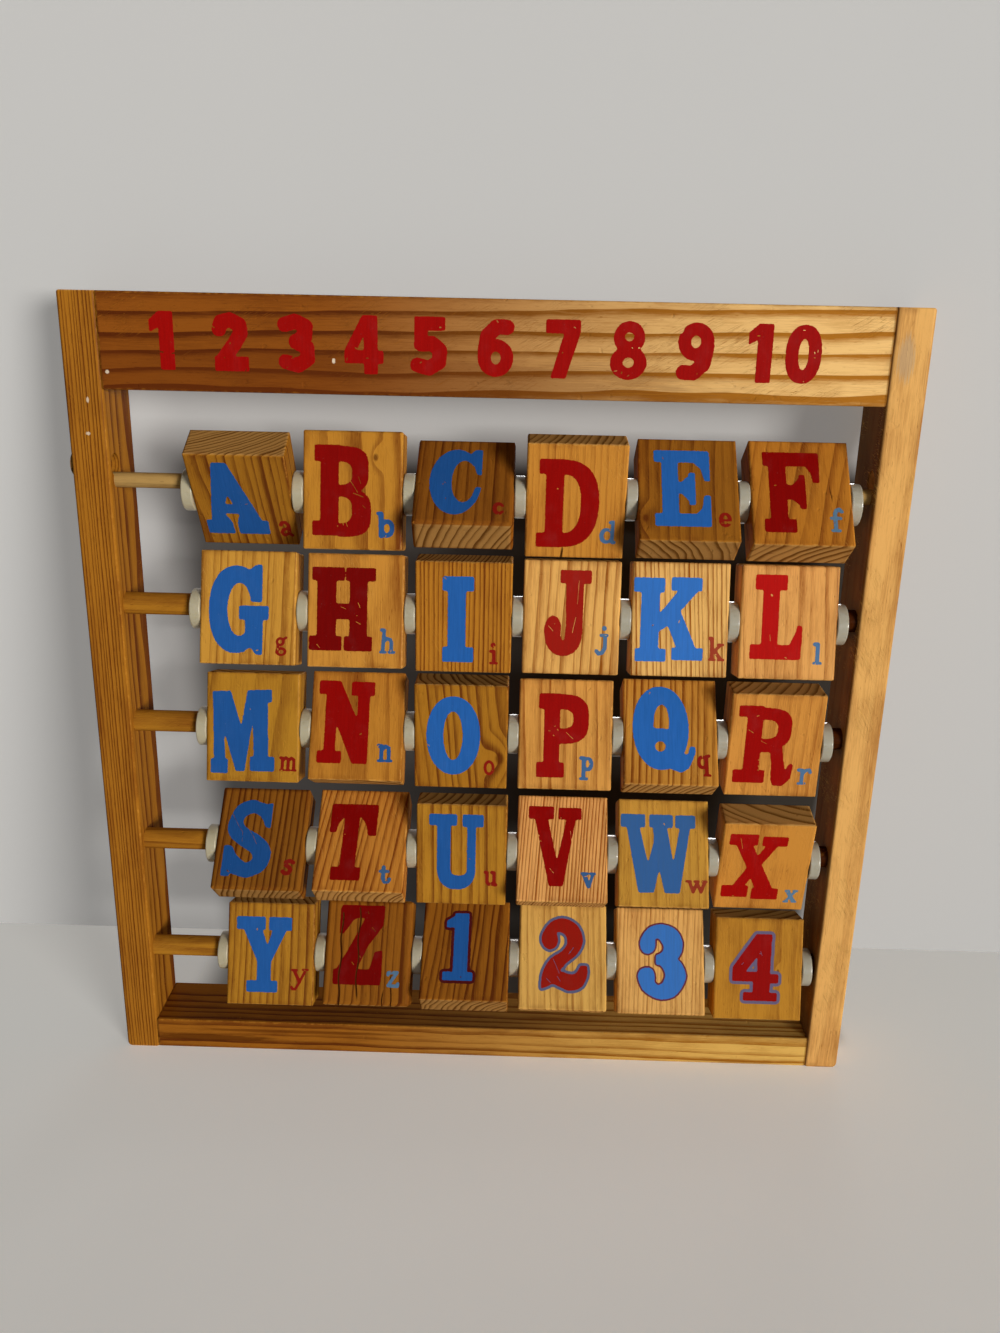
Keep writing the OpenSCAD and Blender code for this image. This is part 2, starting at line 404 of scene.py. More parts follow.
def wood(
    name, centre, turn, half, grain, knots=(), cracks=(), marks=(), scratch=0.3, end=0.85, tone=amber,
    bleach=0.0, inner=0,
):
    """Varnished pine with rings round a pith, fibres, pores, rubbed edges and end grain.

    Local x runs across, y into the piece and z along the grain; half holds the half sizes in mm.
    knots are (x, z, radius), cracks are (x, z of one end, z of the other end, width), marks on the
    front are (x, z, half width, half height, colour, strength). end is how bare the ends are; at 0
    they are hidden in a joint, with dirt along it. bleach is the lightness that the
    piece goes to at its right end: painted shade on the thick dowels, and on the rails partly painted
    light, brighter towards the right where the light comes from. inner is the sign of
    the side in x that is darkened with painted shade, or 0.
    """
    m = Material(name)
    p = m.place(centre, turn)
    x, y, z = m.split(p)
    late, hearts = year_rings(m, p, grain, knots)
    seed = grain.seed
    fibre = m.noise(p, (0.32, 0.32, 10), seed + 3, 4.0)
    strand = m.noise(p, (0.13, 0.13, 2.6), seed + 4, 2.0)
    mottle = m.noise(p, (8, 8, 26), seed + 5, 3.0)
    pores = m.step(m.noise(p, (0.35, 0.35, 3.2), seed + 8, 1.0), 0.69, 0.76)

    dark = late * grain.contrast + 0.08 + (fibre - 0.5) * 1.1 + (strand - 0.5) * 0.55
    dark = m.clamp(dark + (mottle - 0.5) * 1.1 + pores * 0.35)
    colour = m.mix(dark, tone(grain.value * 1.16), tone(grain.value * 0.42))
    # Towards its right end the piece goes to another lightness: painted shade on the thick dowels, partly painted
    # light on the rails
    if bleach:
        pale = m.mix(dark, tone(bleach * 1.16), tone(bleach * 0.55))
        colour = m.mix(m.step(z, -0.5 * half[2], half[2]), colour, pale)

    reach = abs(z)
    at_end = m.step(reach, half[2] - 0.35, half[2] - 0.12)
    if end:
        colour = m.mix(at_end * end, colour, end_grain(m, grain, late, strand))
    else:
        colour = m.mix(m.step(reach, half[2] - 0.8, half[2]) * 0.85, colour, amber(0.04))
    if hearts is not None:
        colour = m.mix(hearts * 0.75, colour, amber(0.10))
    gaps = drying_cracks(m, x, z, cracks)
    if gaps is not None:
        colour = m.mix(gaps * 0.9, colour, amber(0.03))

    # Rubbed and soiled edges, and painted shade on the side that faces the blocks
    edge = edge_distance(m, (x, y, z), half)
    worn = edge - m.noise(p, (1.6, 1.6, 1.6), seed + 11, 3.0) * 1.8
    rubbed = m.step(worn, -0.40, -0.95)
    soiled = m.step(edge, 2.6, 0.3) * m.step(mottle, 0.42, 0.62)
    colour = m.mix(soiled * 0.30, colour, amber(0.14))
    colour = m.mix(rubbed * 0.45, colour, amber(min(0.75, 0.25 + grain.value)))
    # Painted shade on the side of the piece that faces the blocks
    if inner:
        side = m.step(x * inner, half[0] - 0.9, half[0] - 0.2)
        colour = m.mix(side * 0.7, colour, amber(0.06))

    scratched = fine_scratches(m, p, seed) * scratch
    colour = m.mix(scratched, colour, amber(min(0.75, grain.value * 1.5)))
    for mark_x, mark_z, wide, tall, mark_colour, strength in marks:
        far = m.length(m.join((x - mark_x) / wide, 0.0, (z - mark_z) / tall))
        front = m.math("LESS_THAN", y, 1.0 - half[1])
        spot = m.step(far + (fibre - 0.5) * 1.6, 1.2, 0.7) * front
        colour = m.mix(spot * strength, colour, mark_colour)

    dents = m.step(m.noise(p, (2.4, 2.4, 3.0), seed + 19, 1.0), 0.70, 0.80)
    height = late * 0.35 + fibre * 0.35 - scratched * 0.6 - pores * 0.3 - dents * 1.2
    if gaps is not None:
        height = height - gaps * 3.0
    m.bump(height - rubbed * at_end * 0.8, 0.12)
    m.set(
        Base_Color=colour,
        Roughness=mottle * 0.22 + 0.30 + m.most(rubbed, at_end) * 0.22,
        Coat_Weight=(1.0 - at_end) * 0.05,
        Coat_Roughness=0.25,
        Specular_IOR_Level=0.0,
    )
    return m.data


def dress(node, material):
    """Gives a CAD node its one material."""
    mesh = nodes[node].data
    mesh.materials.clear()
    mesh.materials.append(material)


# Blocks

# In rows of six. The tilt in degrees is the CAD's; positive brings the top forward. A hue
# above 1 is yellower than the usual amber, below 1 redder. The shade is how much brighter or deeper
# than the usual the capital's paint is. The rest is the block's grain, whose seed is its number.
# The pale wood and pale capitals of J, K and L, and the pale capital of E, are partly a painted
# reflection: the glossy veil that light from the front right lays on them.
Block = namedtuple("Block", "name tilt hue shade grain")
BLOCK_LOOKS = [
    ("a", 32, 1.22, 0.84, 0.31, 1.3, (-30, 52), 0.02, 0.02, 1.0, 0.80),
    ("b", -11, 1.03, 0.82, 0.44, 4.4, (-30, 40), 0.00, 0.03, 1.2, 0.55),
    ("c", -53, 1.13, 0.92, 0.24, 2.6, (50, 22), 0.00, 0.02, 0.8, 0.72),
    ("d", 8, 0.92, 1.0, 0.50, 2.3, (-60, 16), 0.00, 0.01, 0.6, 0.30),
    ("e", -40, 1.16, 1.21, 0.27, 2.7, (-36, 20), 0.10, 0.05, 1.4, 0.50),
    ("f", -38, 0.90, 0.85, 0.43, 3.2, (44, 34), 0.16, 0.04, 1.0, 0.50),
    ("g", -16, 1.07, 0.98, 0.50, 2.6, (52, 12), 0.02, 0.01, 0.6, 0.48),
    ("h", -14, 0.96, 0.61, 0.51, 5.2, (-20, 52), 0.03, 0.05, 1.6, 0.40),
    ("i", -1, 1.01, 1.12, 0.40, 1.45, (-64, 10), 0.00, 0.00, 0.4, 0.95),
    ("j", -10, 0.96, 1.12, 0.67, 2.9, (48, 16), 0.02, 0.02, 0.8, 0.60),
    ("k", -12, 0.99, 1.58, 0.70, 1.5, (-58, 14), -0.04, 0.01, 0.5, 0.78),
    ("l", -11, 0.86, 1.65, 0.68, 3.1, (50, 30), -0.07, 0.03, 0.8, 0.40),
    ("m", -14, 1.23, 0.86, 0.38, 4.6, (30, 34), 0.02, 0.04, 1.4, 0.34),
    ("n", -29, 0.95, 1.02, 0.47, 4.8, (-26, 50), 0.02, 0.03, 1.0, 0.38),
    ("o", 0, 1.17, 1.15, 0.34, 2.5, (34, 12), -0.16, 0.05, 1.2, 0.75),
    ("p", -18, 0.91, 1.08, 0.60, 3.4, (-46, 24), 0.00, 0.03, 1.0, 0.50),
    ("q", -37, 0.96, 1.43, 0.51, 2.3, (54, 18), 0.02, 0.02, 0.6, 0.85),
    ("r", 2, 0.87, 1.14, 0.57, 3.0, (-52, 30), 0.05, 0.02, 0.8, 0.28),
    ("s", -43, 1.25, 0.78, 0.23, 2.1, (52, 18), 0.01, 0.02, 0.7, 1.05),
    ("t", -45, 0.86, 0.79, 0.50, 2.1, (46, 16), 0.12, 0.04, 0.9, 0.85),
    ("u", -5, 1.18, 0.92, 0.39, 3.0, (-44, 14), 0.00, 0.01, 0.7, 0.65),
    ("v", -36, 0.84, 0.97, 0.71, 1.15, (62, 8), 0.07, 0.00, 0.4, 0.95),
    ("w", -30, 1.11, 0.98, 0.51, 2.2, (-40, 34), 0.03, 0.03, 1.2, 0.28),
    ("x", 11, 0.90, 1.27, 0.53, 3.6, (30, 54), -0.04, 0.02, 0.7, 0.20),
    ("y", -17, 1.19, 1.0, 0.38, 2.5, (50, 14), 0.01, 0.01, 0.7, 0.75),
    ("z", -32, 1.15, 0.62, 0.26, 2.2, (40, 26), -0.02, 0.03, 0.9, 0.80),
    ("1", -51, 1.09, 1.07, 0.28, 2.2, (34, 15), 0.03, 0.05, 1.5, 0.95),
    ("2", -37, 1.06, 1.06, 0.64, 2.4, (-50, 20), 0.00, 0.02, 0.8, 0.40),
    ("3", -33, 0.96, 1.7, 0.70, 1.5, (56, 18), 0.02, 0.02, 0.7, 0.45),
    ("4", -15, 1.09, 1.03, 0.44, 5.0, (-30, 46), 0.02, 0.02, 1.0, 0.30),
]
BLOCKS = [
    Block(name, tilt, hue, shade, Grain(*grain, seed))
    for seed, (name, tilt, hue, shade, *grain) in enumerate(BLOCK_LOOKS, 1)
]
BLOCK_HALF = (16.1, 6.3, 19.0)
KNOTS = {
    "b": [(7.3, 10.7, 1.1)],
    "o": [(13.5, -7.5, 2.0)],
    "e": [(-14.0, -11.0, 1.3)],
    "4": [(7.2, -0.6, 0.7)],
}
CRACKS = {
    "d": [(-4.2, -15.5, -25, 0.45)],
    "z": [(-10.1, 15, -25, 0.45), (-3.7, 17, -16, 0.4), (9.0, -8, -25, 0.3), (6.2, -14, -25, 0.3)],
    "f": [(9.4, 2.0, -2.4, 0.16)],
}


def block_centre(name):
    low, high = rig.box("block_" + name)
    return (low + high) / 2


for block in BLOCKS:
    dress(
        "block_" + block.name,
        wood(
            "pine_block_" + block.name,
            block_centre(block.name),
            (block.tilt, 0, 0),
            BLOCK_HALF,
            block.grain,
            KNOTS.get(block.name, ()),
            CRACKS.get(block.name, ()),
            tone=partial(amber, hue=block.hue),
        ),
    )


# Frame and dowels

# A piece along Z keeps its axes; one along X is turned so that its own z lies along it and its
# own x points down.
UPRIGHT, ALONG_X = (0, 0, 0), (0, 90, 0)
CHIP, SMUDGE = (0.75, 0.62, 0.45, 1), (0.42, 0.33, 0.22, 1)


def half_sizes(node, turn):
    low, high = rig.box(node)
    size = (high - low) / 2 / MM
    return (size.z, size.y, size.x) if turn == ALONG_X else tuple(size)


FRAME_WOOD = {
    "left_stile": {
        "grain": Grain(0.33, 1.0, (-70, 12), 0.005, 0.004, 0.4, 0.80, 41),
        "tone": partial(amber, hue=1.10),
        "marks": [(1.2, 104.0, 0.5, 0.9, CHIP, 0.7), (0.3, 93.5, 0.7, 0.5, CHIP, 0.7)],
    },
    "right_stile": {
        "grain": Grain(0.70, 5.5, (18, 60), 0.004, 0.006, 1.0, 0.22, 42),
        "tone": partial(amber, hue=0.94),
        "marks": [(-1.6, 122.0, 2.6, 7.0, SMUDGE, 0.5)],
        "scratch": 1.0,
        # The right stile's inner face is darkened with painted shade
        "inner": -1,
    },
    "top_rail": {
        "grain": Grain(0.225, 4.6, (30, 16), -0.035, 0.012, 1.0, 1.05, 43),
        "marks": [
            (10, -60, 8, 120, amber(0.13), 0.4),
            (9.4, -121.0, 0.6, 0.6, CHIP, 0.8),
            (4.6, -49.6, 0.7, 0.5, CHIP, 0.9),
        ],
        "scratch": 0.6,
        "end": 0.0,
        # Paler towards the right end: partly painted light from the right
        "bleach": 0.78,
    },
    "bottom_rail": {
        "grain": Grain(0.27, 2.4, (-18, 10), 0.012, 0.004, 0.9, 0.80, 44),
        "tone": partial(amber, hue=1.12),
        "marks": [(1.5, -104, 1.6, 24, amber(0.06), 0.7), (-2.2, -70, 0.7, 40, amber(0.08), 0.6)],
        "end": 0.0,
        # Paler towards the right end: partly painted light from the right
        "bleach": 0.64,
    },
    "dowel_1": {"grain": Grain(0.37, 2.0, (6, 12), 0.0, 0.01, 0.3, 0.25, 45), "tone": bare},
    "dowel_stub": {"grain": Grain(0.12, 1.1, (1, 2), 0.0, 0.0, 0.5, 1.0, 50), "tone": bare},
}
THICK_DOWELS = (("2", 0.345, (8, 10)), ("3", 0.36, (7, 12)), ("4", 0.33, (9, 11)), ("5", 0.38, (6, 10)))
for row, value, pith in THICK_DOWELS:
    FRAME_WOOD["dowel_" + row] = {
        "grain": Grain(value, 2.0, pith, 0.0, 0.01, 0.3, 0.40, 44 + int(row)),
        "tone": partial(amber, hue=1.15),
        # Nearly black towards the right end: painted shade between the last blocks and the right stile
        "bleach": 0.04,
    }
for node, look in FRAME_WOOD.items():
    low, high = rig.box(node)
    turn = UPRIGHT if node.endswith("stile") else ALONG_X
    dress(node, wood("pine_" + node, (low + high) / 2, turn, half_sizes(node, turn), **look))


def plastic():
    """Milky plastic of the spacer rings: creamy at the left, greyer and glossier at the right."""
    m = Material("ring_plastic")
    p = m.place()
    x, _, _ = m.split(p)
    cloud = m.noise(p, (5, 5, 5), 61, 3.0)
    grime = m.step(m.noise(p, (2.2, 2.2, 2.2), 62, 4.0), 0.58, 0.72)
    side = m.step(x, -90.0, 60.0)
    colour = m.mix(side, (0.43, 0.375, 0.24, 1), (0.37, 0.34, 0.26, 1))
    colour = m.mix(cloud * 0.35, colour, (0.52, 0.48, 0.37, 1))
    colour = m.mix(grime * 0.25, colour, (0.25, 0.19, 0.10, 1))
    m.bump(cloud, 0.05)
    m.set(
        Base_Color=colour,
        Roughness=0.42 - side * 0.22,
        Subsurface_Weight=0.35,
        Subsurface_Radius=(1.0, 0.85, 0.6),
        Subsurface_Scale=0.0012,
        Coat_Weight=0.15,
        Coat_Roughness=0.2,
    )
    return m.data


def steel():
    """Dull steel of the brad heads, with a little rust."""
    m = Material("brad_steel")
    rust = m.step(m.noise(m.place(), (0.6, 0.6, 0.6), 71, 3.0), 0.45, 0.65)
    m.bump(rust, 0.05)
    m.set(
        Base_Color=m.mix(rust, (0.30, 0.29, 0.28, 1), (0.14, 0.06, 0.03, 1)),
        Roughness=rust * 0.3 + 0.38,
        Metallic=0.95 - rust * 0.8,
    )
    return m.data


ring_plastic = plastic()
brad_steel = steel()
for row in "12345":
    dress("spacers_" + row, ring_plastic)
for side in ("left", "right"):
    dress(side + "_brads", brad_steel)


# Painted figures

# A shape is a list of points round a closed outline, or the four sides of a rectangle, in mm on
# the face, x to the right and z up from the face's middle.

# Points of an oval, and steps from one point of a loop to the next
OVAL_POINTS, LOOP_STEPS = 64, 6
# Ink covers the face where its field is above this
PAINTED = 0.5


def oval(left, bottom, right, top, power=2.0):
    """Superellipse in that rectangle; a higher power fills the corners more."""
    points = []
    for i in range(OVAL_POINTS):
        c, s = math.cos(math.tau * i / OVAL_POINTS), math.sin(math.tau * i / OVAL_POINTS)
        points.append(
            (
                (left + right) / 2 + (right - left) / 2 * math.copysign(abs(c) ** (2 / power), c),
                (bottom + top) / 2 + (top - bottom) / 2 * math.copysign(abs(s) ** (2 / power), s),
            )
        )
    return points


def bowl(left, bottom, right, top, power=2.8):
    """The right half of an oval, with its straight side at left."""
    return [(x, z) for x, z in oval(2 * left - right, bottom, right, top, power) if x >= left - 1e-6]


def loop(*points):
    """Smooth closed curve through points; a point given with a third value is a sharp corner."""
    out = []
    n = len(points)
    for i, point in enumerate(points):
        before, after, beyond = points[i - 1], points[(i + 1) % n], points[(i + 2) % n]
        p0 = point if len(point) == 3 else before
        p3 = after if len(after) == 3 else beyond
        for k in range(LOOP_STEPS):
            t = k / LOOP_STEPS
            out.append(
                tuple(
                    0.5
                    * (
                        2 * point[a]
                        + (after[a] - p0[a]) * t
                        + (2 * p0[a] - 5 * point[a] + 4 * after[a] - p3[a]) * t**2
                        + (3 * point[a] - p0[a] - 3 * after[a] + p3[a]) * t**3
                    )
                    for a in (0, 1)
                )
            )
    return out


class Ink:
    """Paint on a grid over part of a face. Shapes are added and cut in order."""

    def __init__(self, left, bottom, right, top, step=0.16):
        self.step = step
        self.corner = (left, bottom)
        xs = np.arange(left, right + step, step)
        zs = np.arange(bottom, top + step, step)
        self.x, self.z = np.meshgrid(xs, zs)
        self.field = np.zeros_like(self.x)

    def inside(self, shape):
        """Where the grid lies in a closed outline, or in a rectangle (left, bottom, right, top)."""
        if isinstance(shape, tuple):
            left, bottom, right, top = shape
            shape = [(left, bottom), (right, bottom), (right, top), (left, top)]
        hit = np.zeros(self.x.shape, bool)
        for (x0, z0), (x1, z1) in zip(shape, shape[1:] + shape[:1]):
            if z0 == z1:
                continue
            crosses = (self.z >= z0) != (self.z >= z1)
            hit ^= crosses & (self.x < x0 + (self.z - z0) * (x1 - x0) / (z1 - z0))
        return hit

    def distance(self, points):
        """Distance to the line through points, in mm."""
        best = np.full(self.x.shape, 1e9)
        for (x0, z0), (x1, z1) in zip(points, points[1:]):
            dx, dz = x1 - x0, z1 - z0
            t = np.clip(((self.x - x0) * dx + (self.z - z0) * dz) / max(dx * dx + dz * dz, 1e-9), 0, 1)
            best = np.minimum(best, np.hypot(self.x - x0 - t * dx, self.z - z0 - t * dz))
        return best

    def add(self, *shapes):
        for shape in shapes:
            self.field[self.inside(shape)] = 1.0

    def cut(self, *shapes):
        for shape in shapes:
            self.field[self.inside(shape)] = 0.0

    def line(self, width, *points):
        self.field[self.distance(points) < width / 2] = 1.0

    def serif(self, left, right, z):
        """The foot or the head of a small letter's stroke."""
        self.line(0.9, (left, z), (right, z))

    def at(self, left, bottom, scale):
        """The same ink for shapes in units of scale mm, from that corner."""
        view = copy.copy(self)
        view.x = (self.x - left) / scale
        view.z = (self.z - bottom) / scale
        return view

    def scrape(self, width, *points):
        """A scratch or crack through dry paint. It keeps its own width, however narrow."""
        clear = 0.5 + (self.distance(points) - width / 2) / self.step
        self.field = np.minimum(self.field, clear)

    def soften(self, spread):
        """Rounds the corners as wet paint does: a blur by spread mm."""
        reach = int(math.ceil(3 * spread / self.step))
        taps = np.exp(-0.5 * (np.arange(-reach, reach + 1) * self.step / spread) ** 2)
        taps /= taps.sum()
        for axis in (0, 1):
            self.field = sum(
                w * np.roll(self.field, k - reach, axis) for k, w in enumerate(taps)
            )

    def wear(self, rng, chips, ragged=0.14):
        """Ragged edges, and small chips where the wood shows through."""
        rough = rng.normal(size=self.field.shape)
        for _ in range(3):
            rough = (rough + np.roll(rough, 1, 0) + np.roll(rough, 1, 1) + np.roll(rough, 1, (0, 1))) / 4
        self.field += rough * ragged
        inked = np.argwhere(self.field > 0.9)
        for _ in range(chips):
            row, column = inked[rng.integers(len(inked))]
            x, z = self.x[row, column], self.z[row, column]
            angle, long, wide = rng.uniform(0, math.pi), rng.uniform(0.15, 0.65), rng.uniform(0.10, 0.22)
            u = (self.x - x) * math.cos(angle) + (self.z - z) * math.sin(angle)
            v = (self.z - z) * math.cos(angle) - (self.x - x) * math.sin(angle)
            self.field -= 1.3 * np.exp(-((u / long) ** 2) - (v / wide) ** 2)

    def outlines(self, level=PAINTED):
        """Closed outlines round the paint, with the paint on their left, in mm."""
        f = np.pad(self.field, 1)
        inside = f > level
        code = inside[:-1, :-1] + 2 * inside[:-1, 1:] + 4 * inside[1:, 1:] + 8 * inside[1:, :-1]
        turns = {
            1: "BL", 2: "RB", 3: "RL", 4: "TR", 5: "BLTR", 6: "TB", 7: "TL", 8: "LT",
            9: "BT", 10: "RBLT", 11: "RT", 12: "LR", 13: "BR", 14: "LB",
        }
        follow = {}
        for row, column in np.argwhere((code > 0) & (code < 15)):
            sides = {
                "B": (0, row, column),
                "T": (0, row + 1, column),
                "L": (1, row, column),
                "R": (1, row, column + 1),
            }
            turn = turns[int(code[row, column])]
            for start, end in zip(turn[::2], turn[1::2]):
                follow[sides[start]] = sides[end]

        def spot(key):
            upright, row, column = key
            first = f[row, column]
            second = f[row + 1, column] if upright else f[row, column + 1]
            t = (level - first) / (second - first)
            x, z = (column, row + t) if upright else (column + t, row)
            return (self.corner[0] + (x - 1) * self.step, self.corner[1] + (z - 1) * self.step)

        found = []
        while follow:
            key, after = follow.popitem()
            ring = [spot(key)]
            while after != key:
                ring.append(spot(after))
                after = follow.pop(after)
            found.append(simplified(np.array(ring)))
        return [ring for ring in found if len(ring) > 3]


def simplified(ring, tolerance=0.018):
    """Drops the points of a closed ring that lie within tolerance of the line without them."""
    ring = np.vstack([ring, ring[:1]])
    keep = np.zeros(len(ring), bool)
    middle = int(np.argmax(np.hypot(*(ring - ring[0]).T)))
    keep[[0, middle, len(ring) - 1]] = True
    spans = [(0, middle), (middle, len(ring) - 1)]
    while spans:
        a, b = spans.pop()
        if b - a < 2:
            continue
        chord = ring[b] - ring[a]
        length = max(np.hypot(*chord), 1e-9)
        off = np.abs(chord[0] * (ring[a:b, 1] - ring[a, 1]) - chord[1] * (ring[a:b, 0] - ring[a, 0])) / length
        far = int(np.argmax(off))
        if off[far] > tolerance:
            keep[a + far] = True
            spans += [(a, a + far), (a + far, b)]
    return ring[:-1][keep[:-1]]


def islands(rings):
    """Groups outlines into islands: each an outer ring followed by the holes in it."""
    area = [sum(a[0] * b[1] - b[0] * a[1] for a, b in zip(r, np.roll(r, -1, 0))) / 2 for r in rings]
    groups = [[r] for r, a in zip(rings, area) if a > 0]
    for hole, a in zip(rings, area):
        if a > 0:
            continue
        for group in groups:
            if contains(group[0], hole[0]):
                group.append(hole)
                break
    return groups


def contains(ring, point):
    hit = False
    for (x0, z0), (x1, z1) in zip(ring, np.roll(ring, -1, 0)):
        if (z0 > point[1]) != (z1 > point[1]):
            hit ^= point[0] < x0 + (point[1] - z0) * (x1 - x0) / (z1 - z0)
    return hit


PAINT_THICK = 0.05


def paint_piece(name, rings, centre, tilt, face, body, slot, material, lift=0.0):
    """A thin closed sheet of paint on a front face, given by outlines in mm.

    centre is the carrying piece's middle, tilt its turn about X and face the distance from its
    middle to the face, in mm. lift raises the paint over another coat.
    """
    mesh = bmesh.new()
    turn = Matrix.Rotation(math.radians(tilt), 3, "X")
    for island in islands(rings):
        flat = [p for ring in island for p in ring]
        layers = []
        for depth in (-face - PAINT_THICK - lift, -face + PAINT_THICK):
            spots = [Vector(centre) + turn @ Vector((x, depth, z)) * MM for x, z in flat]
            layers.append([mesh.verts.new(spot) for spot in spots])
        front, back = layers
        for a, b, c in tessellate_polygon([[Vector((x, z, 0)) for x, z in ring] for ring in island]):
            mesh.faces.new((front[a], front[b], front[c]))
            mesh.faces.new((back[c], back[b], back[a]))
        start = 0
        for ring in island:
            n = len(ring)
            for i in range(n):
                j = (i + 1) % n
                mesh.faces.new((front[start + i], back[start + i], back[start + j], front[start + j]))
            start += n
    bmesh.ops.recalc_face_normals(mesh, faces=mesh.faces)
    data = bpy.data.meshes.new(name)
    mesh.to_mesh(data)
    mesh.free()
    data.materials.append(material)
    piece = placed(name, data)
    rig.ride(piece, body)
    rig.slot(piece, slot)
    return piece


def paint(name, colour, centre, tilt, grain, thin=0.0):
    """Screened enamel: a little streaky along the grain. Thin paint lets the wood show through."""
    m = Material(name)
    p = m.place(centre, (tilt, 0, 0))
    streak = m.noise(p, (0.5, 0.5, 9), grain.seed + 3, 3.0)
    cloud = m.noise(p, (5, 5, 7), grain.seed + 23, 3.0)
    specks = m.step(m.noise(p, (0.5, 0.5, 0.6), grain.seed + 29, 1.0), 0.74, 0.80)
    deep = tuple(c * 0.66 for c in colour[:3]) + (1,)
    pale = tuple(c * 0.9 + 0.05 for c in colour[:3]) + (1,)
    out = m.mix(m.clamp((streak - 0.5) * 1.2 + 0.16), colour, deep)
    out = m.mix(m.step(cloud, 0.5, 0.8) * 0.12, out, pale)
    out = m.mix(specks * 0.5, out, pale)
    if thin:
        through = (0.17, 0.28, 0.32, 1) if colour[2] > colour[0] else (0.55, 0.15, 0.06, 1)
        out = m.mix(m.clamp((streak - 0.5) * (0.9 * thin) + thin), out, through)
    m.bump(streak * 0.5 - specks * 0.6, 0.06)
    m.set(Base_Color=out, Roughness=cloud * 0.2 + 0.38, Specular_IOR_Level=0.03)
    return m.data


BLUE = (0.018, 0.105, 0.36, 1)
RED = (0.29, 0.003, 0.002, 1)


def tinted(colour, lightness):
    return tuple(min(1.0, c * lightness) for c in colour[:3]) + (1,)


# Capitals: one function each, on the face's own millimetres


def capital_a(ink):
    ink.add([(-7.6, 15.9), (-2.9, 15.9), (5.3, -9), (-11.8, -9)])
    ink.add((-13.5, -14.1, -4.7, -8.2), (-3.3, -14.1, 6.9, -8.2))
    ink.cut([(-4.7, 2.7), (-6.0, -1.2), (-3.4, -1.2)])
    ink.cut([(-6.9, -5.3), (-2, -5.3), (-3.3, -9.2), (-3.3, -14.5), (-4.7, -14.5), (-4.9, -9.2)])


def capital_b(ink):
    ink.add((-12.4, 9.1, -4, 14.4), (-13, -14.6, -4, -9.8), (-10.4, -14, -4.5, 14))
    ink.add(bowl(-4.5, -1, 5.1, 14.1, 3.2), bowl(-4.5, -14.9, 6.0, 0.6, 3.2))
    ink.cut(bowl(-4.5, 1.8, -0.2, 9.1), bowl(-4.5, -10.5, -0.2, -2))


def capital_c(ink):
    ink.add(oval(-11.4, -15.1, 5.5, 13.9))
    ink.cut(oval(-4.3, -9.8, 3.6, 8.9), (2.4, -3.0, 8, 14))
    ink.add([(5.4, 2.3), (3.9, 2.6), (3.0, 6.0), (1.2, 9.0), (1.8, 12.4), (3, 13.9), (5.4, 13.9)])


def capital_d(ink):
    ink.add((-12.1, 9.1, -4, 14.1), (-12.6, -15.3, -4, -10.4), (-9.9, -15, -4.1, 14))
    ink.add(bowl(-4.1, -15.2, 7.4, 13.9, 2.4))
    ink.cut(bowl(-4.1, -10.4, 1.6, 9.1, 2.4))


def capital_e(ink):
    ink.add((-10.9, 9.9, 7, 14.4), (-10.9, -13.7, 7, -9.1), (-8.6, -13, -3.2, 14))
    ink.add([(1.5, 10.2), (4.1, 7.5), (5.2, 3.1), (7, 3.1), (7, 12)])
    ink.add([(2, -9.4), (4.2, -7), (4.9, -2.3), (7, -2.3), (7, -12)])
    ink.add((-4, -1.6, 0.8, 2.5), (0.1, -5.9, 2.2, 6.1), [(-2.6, 2.3), (0.3, 5), (0.3, -4.6), (-2.6, -1.5)])


def capital_f(ink):
    ink.add((-11.9, 9.4, 6.4, 14.6), (-10.1, -12, -4.5, 12), (-12.3, -14.6, -2.0, -9.7))
    ink.add([(1.6, 9.9), (3.4, 7), (3.9, 3.6), (6.1, 3.6), (6.4, 12)])
    ink.add((-4.6, -2.7, 0, 2.5), (-0.5, -6.1, 1.5, 6.4), [(-3, 2.3), (-0.4, 5.2), (-0.4, -5), (-3, -2.6)])


def capital_g(ink):
    ink.add(oval(-13.1, -15.3, 5.2, 13.9, 2.2))
    ink.cut(oval(-6.9, -9.5, 1.2, 8.2), (-0.4, 0.7, 9, 2.0), (-0.8, -16, 8, -4), (4.8, 1.9, 9, 15))
    ink.add([(4.8, 14.4), (2.8, 14.4), (0, 12.4), (0, 6.4), (2.2, 2), (4.8, 1.9)], (-2.9, -4, 6.9, 0.6))
    ink.add([(-0.8, -3), (5, -3), (5, -15.6), (2.8, -15.6), (1.0, -13.2), (-0.8, -14.4)])


def capital_h(ink):
    ink.add((-14.7, 9.9, -3.8, 14.4), (-3.3, 9.9, 6.6, 14.4))
    ink.add((-15.4, -13.4, -4.5, -8.4), (-3.8, -13.4, 5.7, -8.4))
    ink.add((-12.9, -12, -6.5, 12), (-2, -12, 3.9, 12), (-7, -2.8, -1, 2.4))


def capital_i(ink):
    ink.add((-7, 9.2, 3.4, 14.1), (-5.2, -14, 0.7, 13), (-7, -15.3, 3.4, -10))


def capital_j(ink):
    ink.add(oval(-9, -12.9, 3.7, 3.9, 2.2))
    ink.cut((-10, -4.5, -1.9, 4.5))
    ink.add(oval(-9, -9.6, -3.2, 0.6), (-2, -5, 3.7, 14), (-4, 11.4, 6.4, 15.8))
    ink.cut(oval(-3.5, -7.7, -1.9, 6, 3))


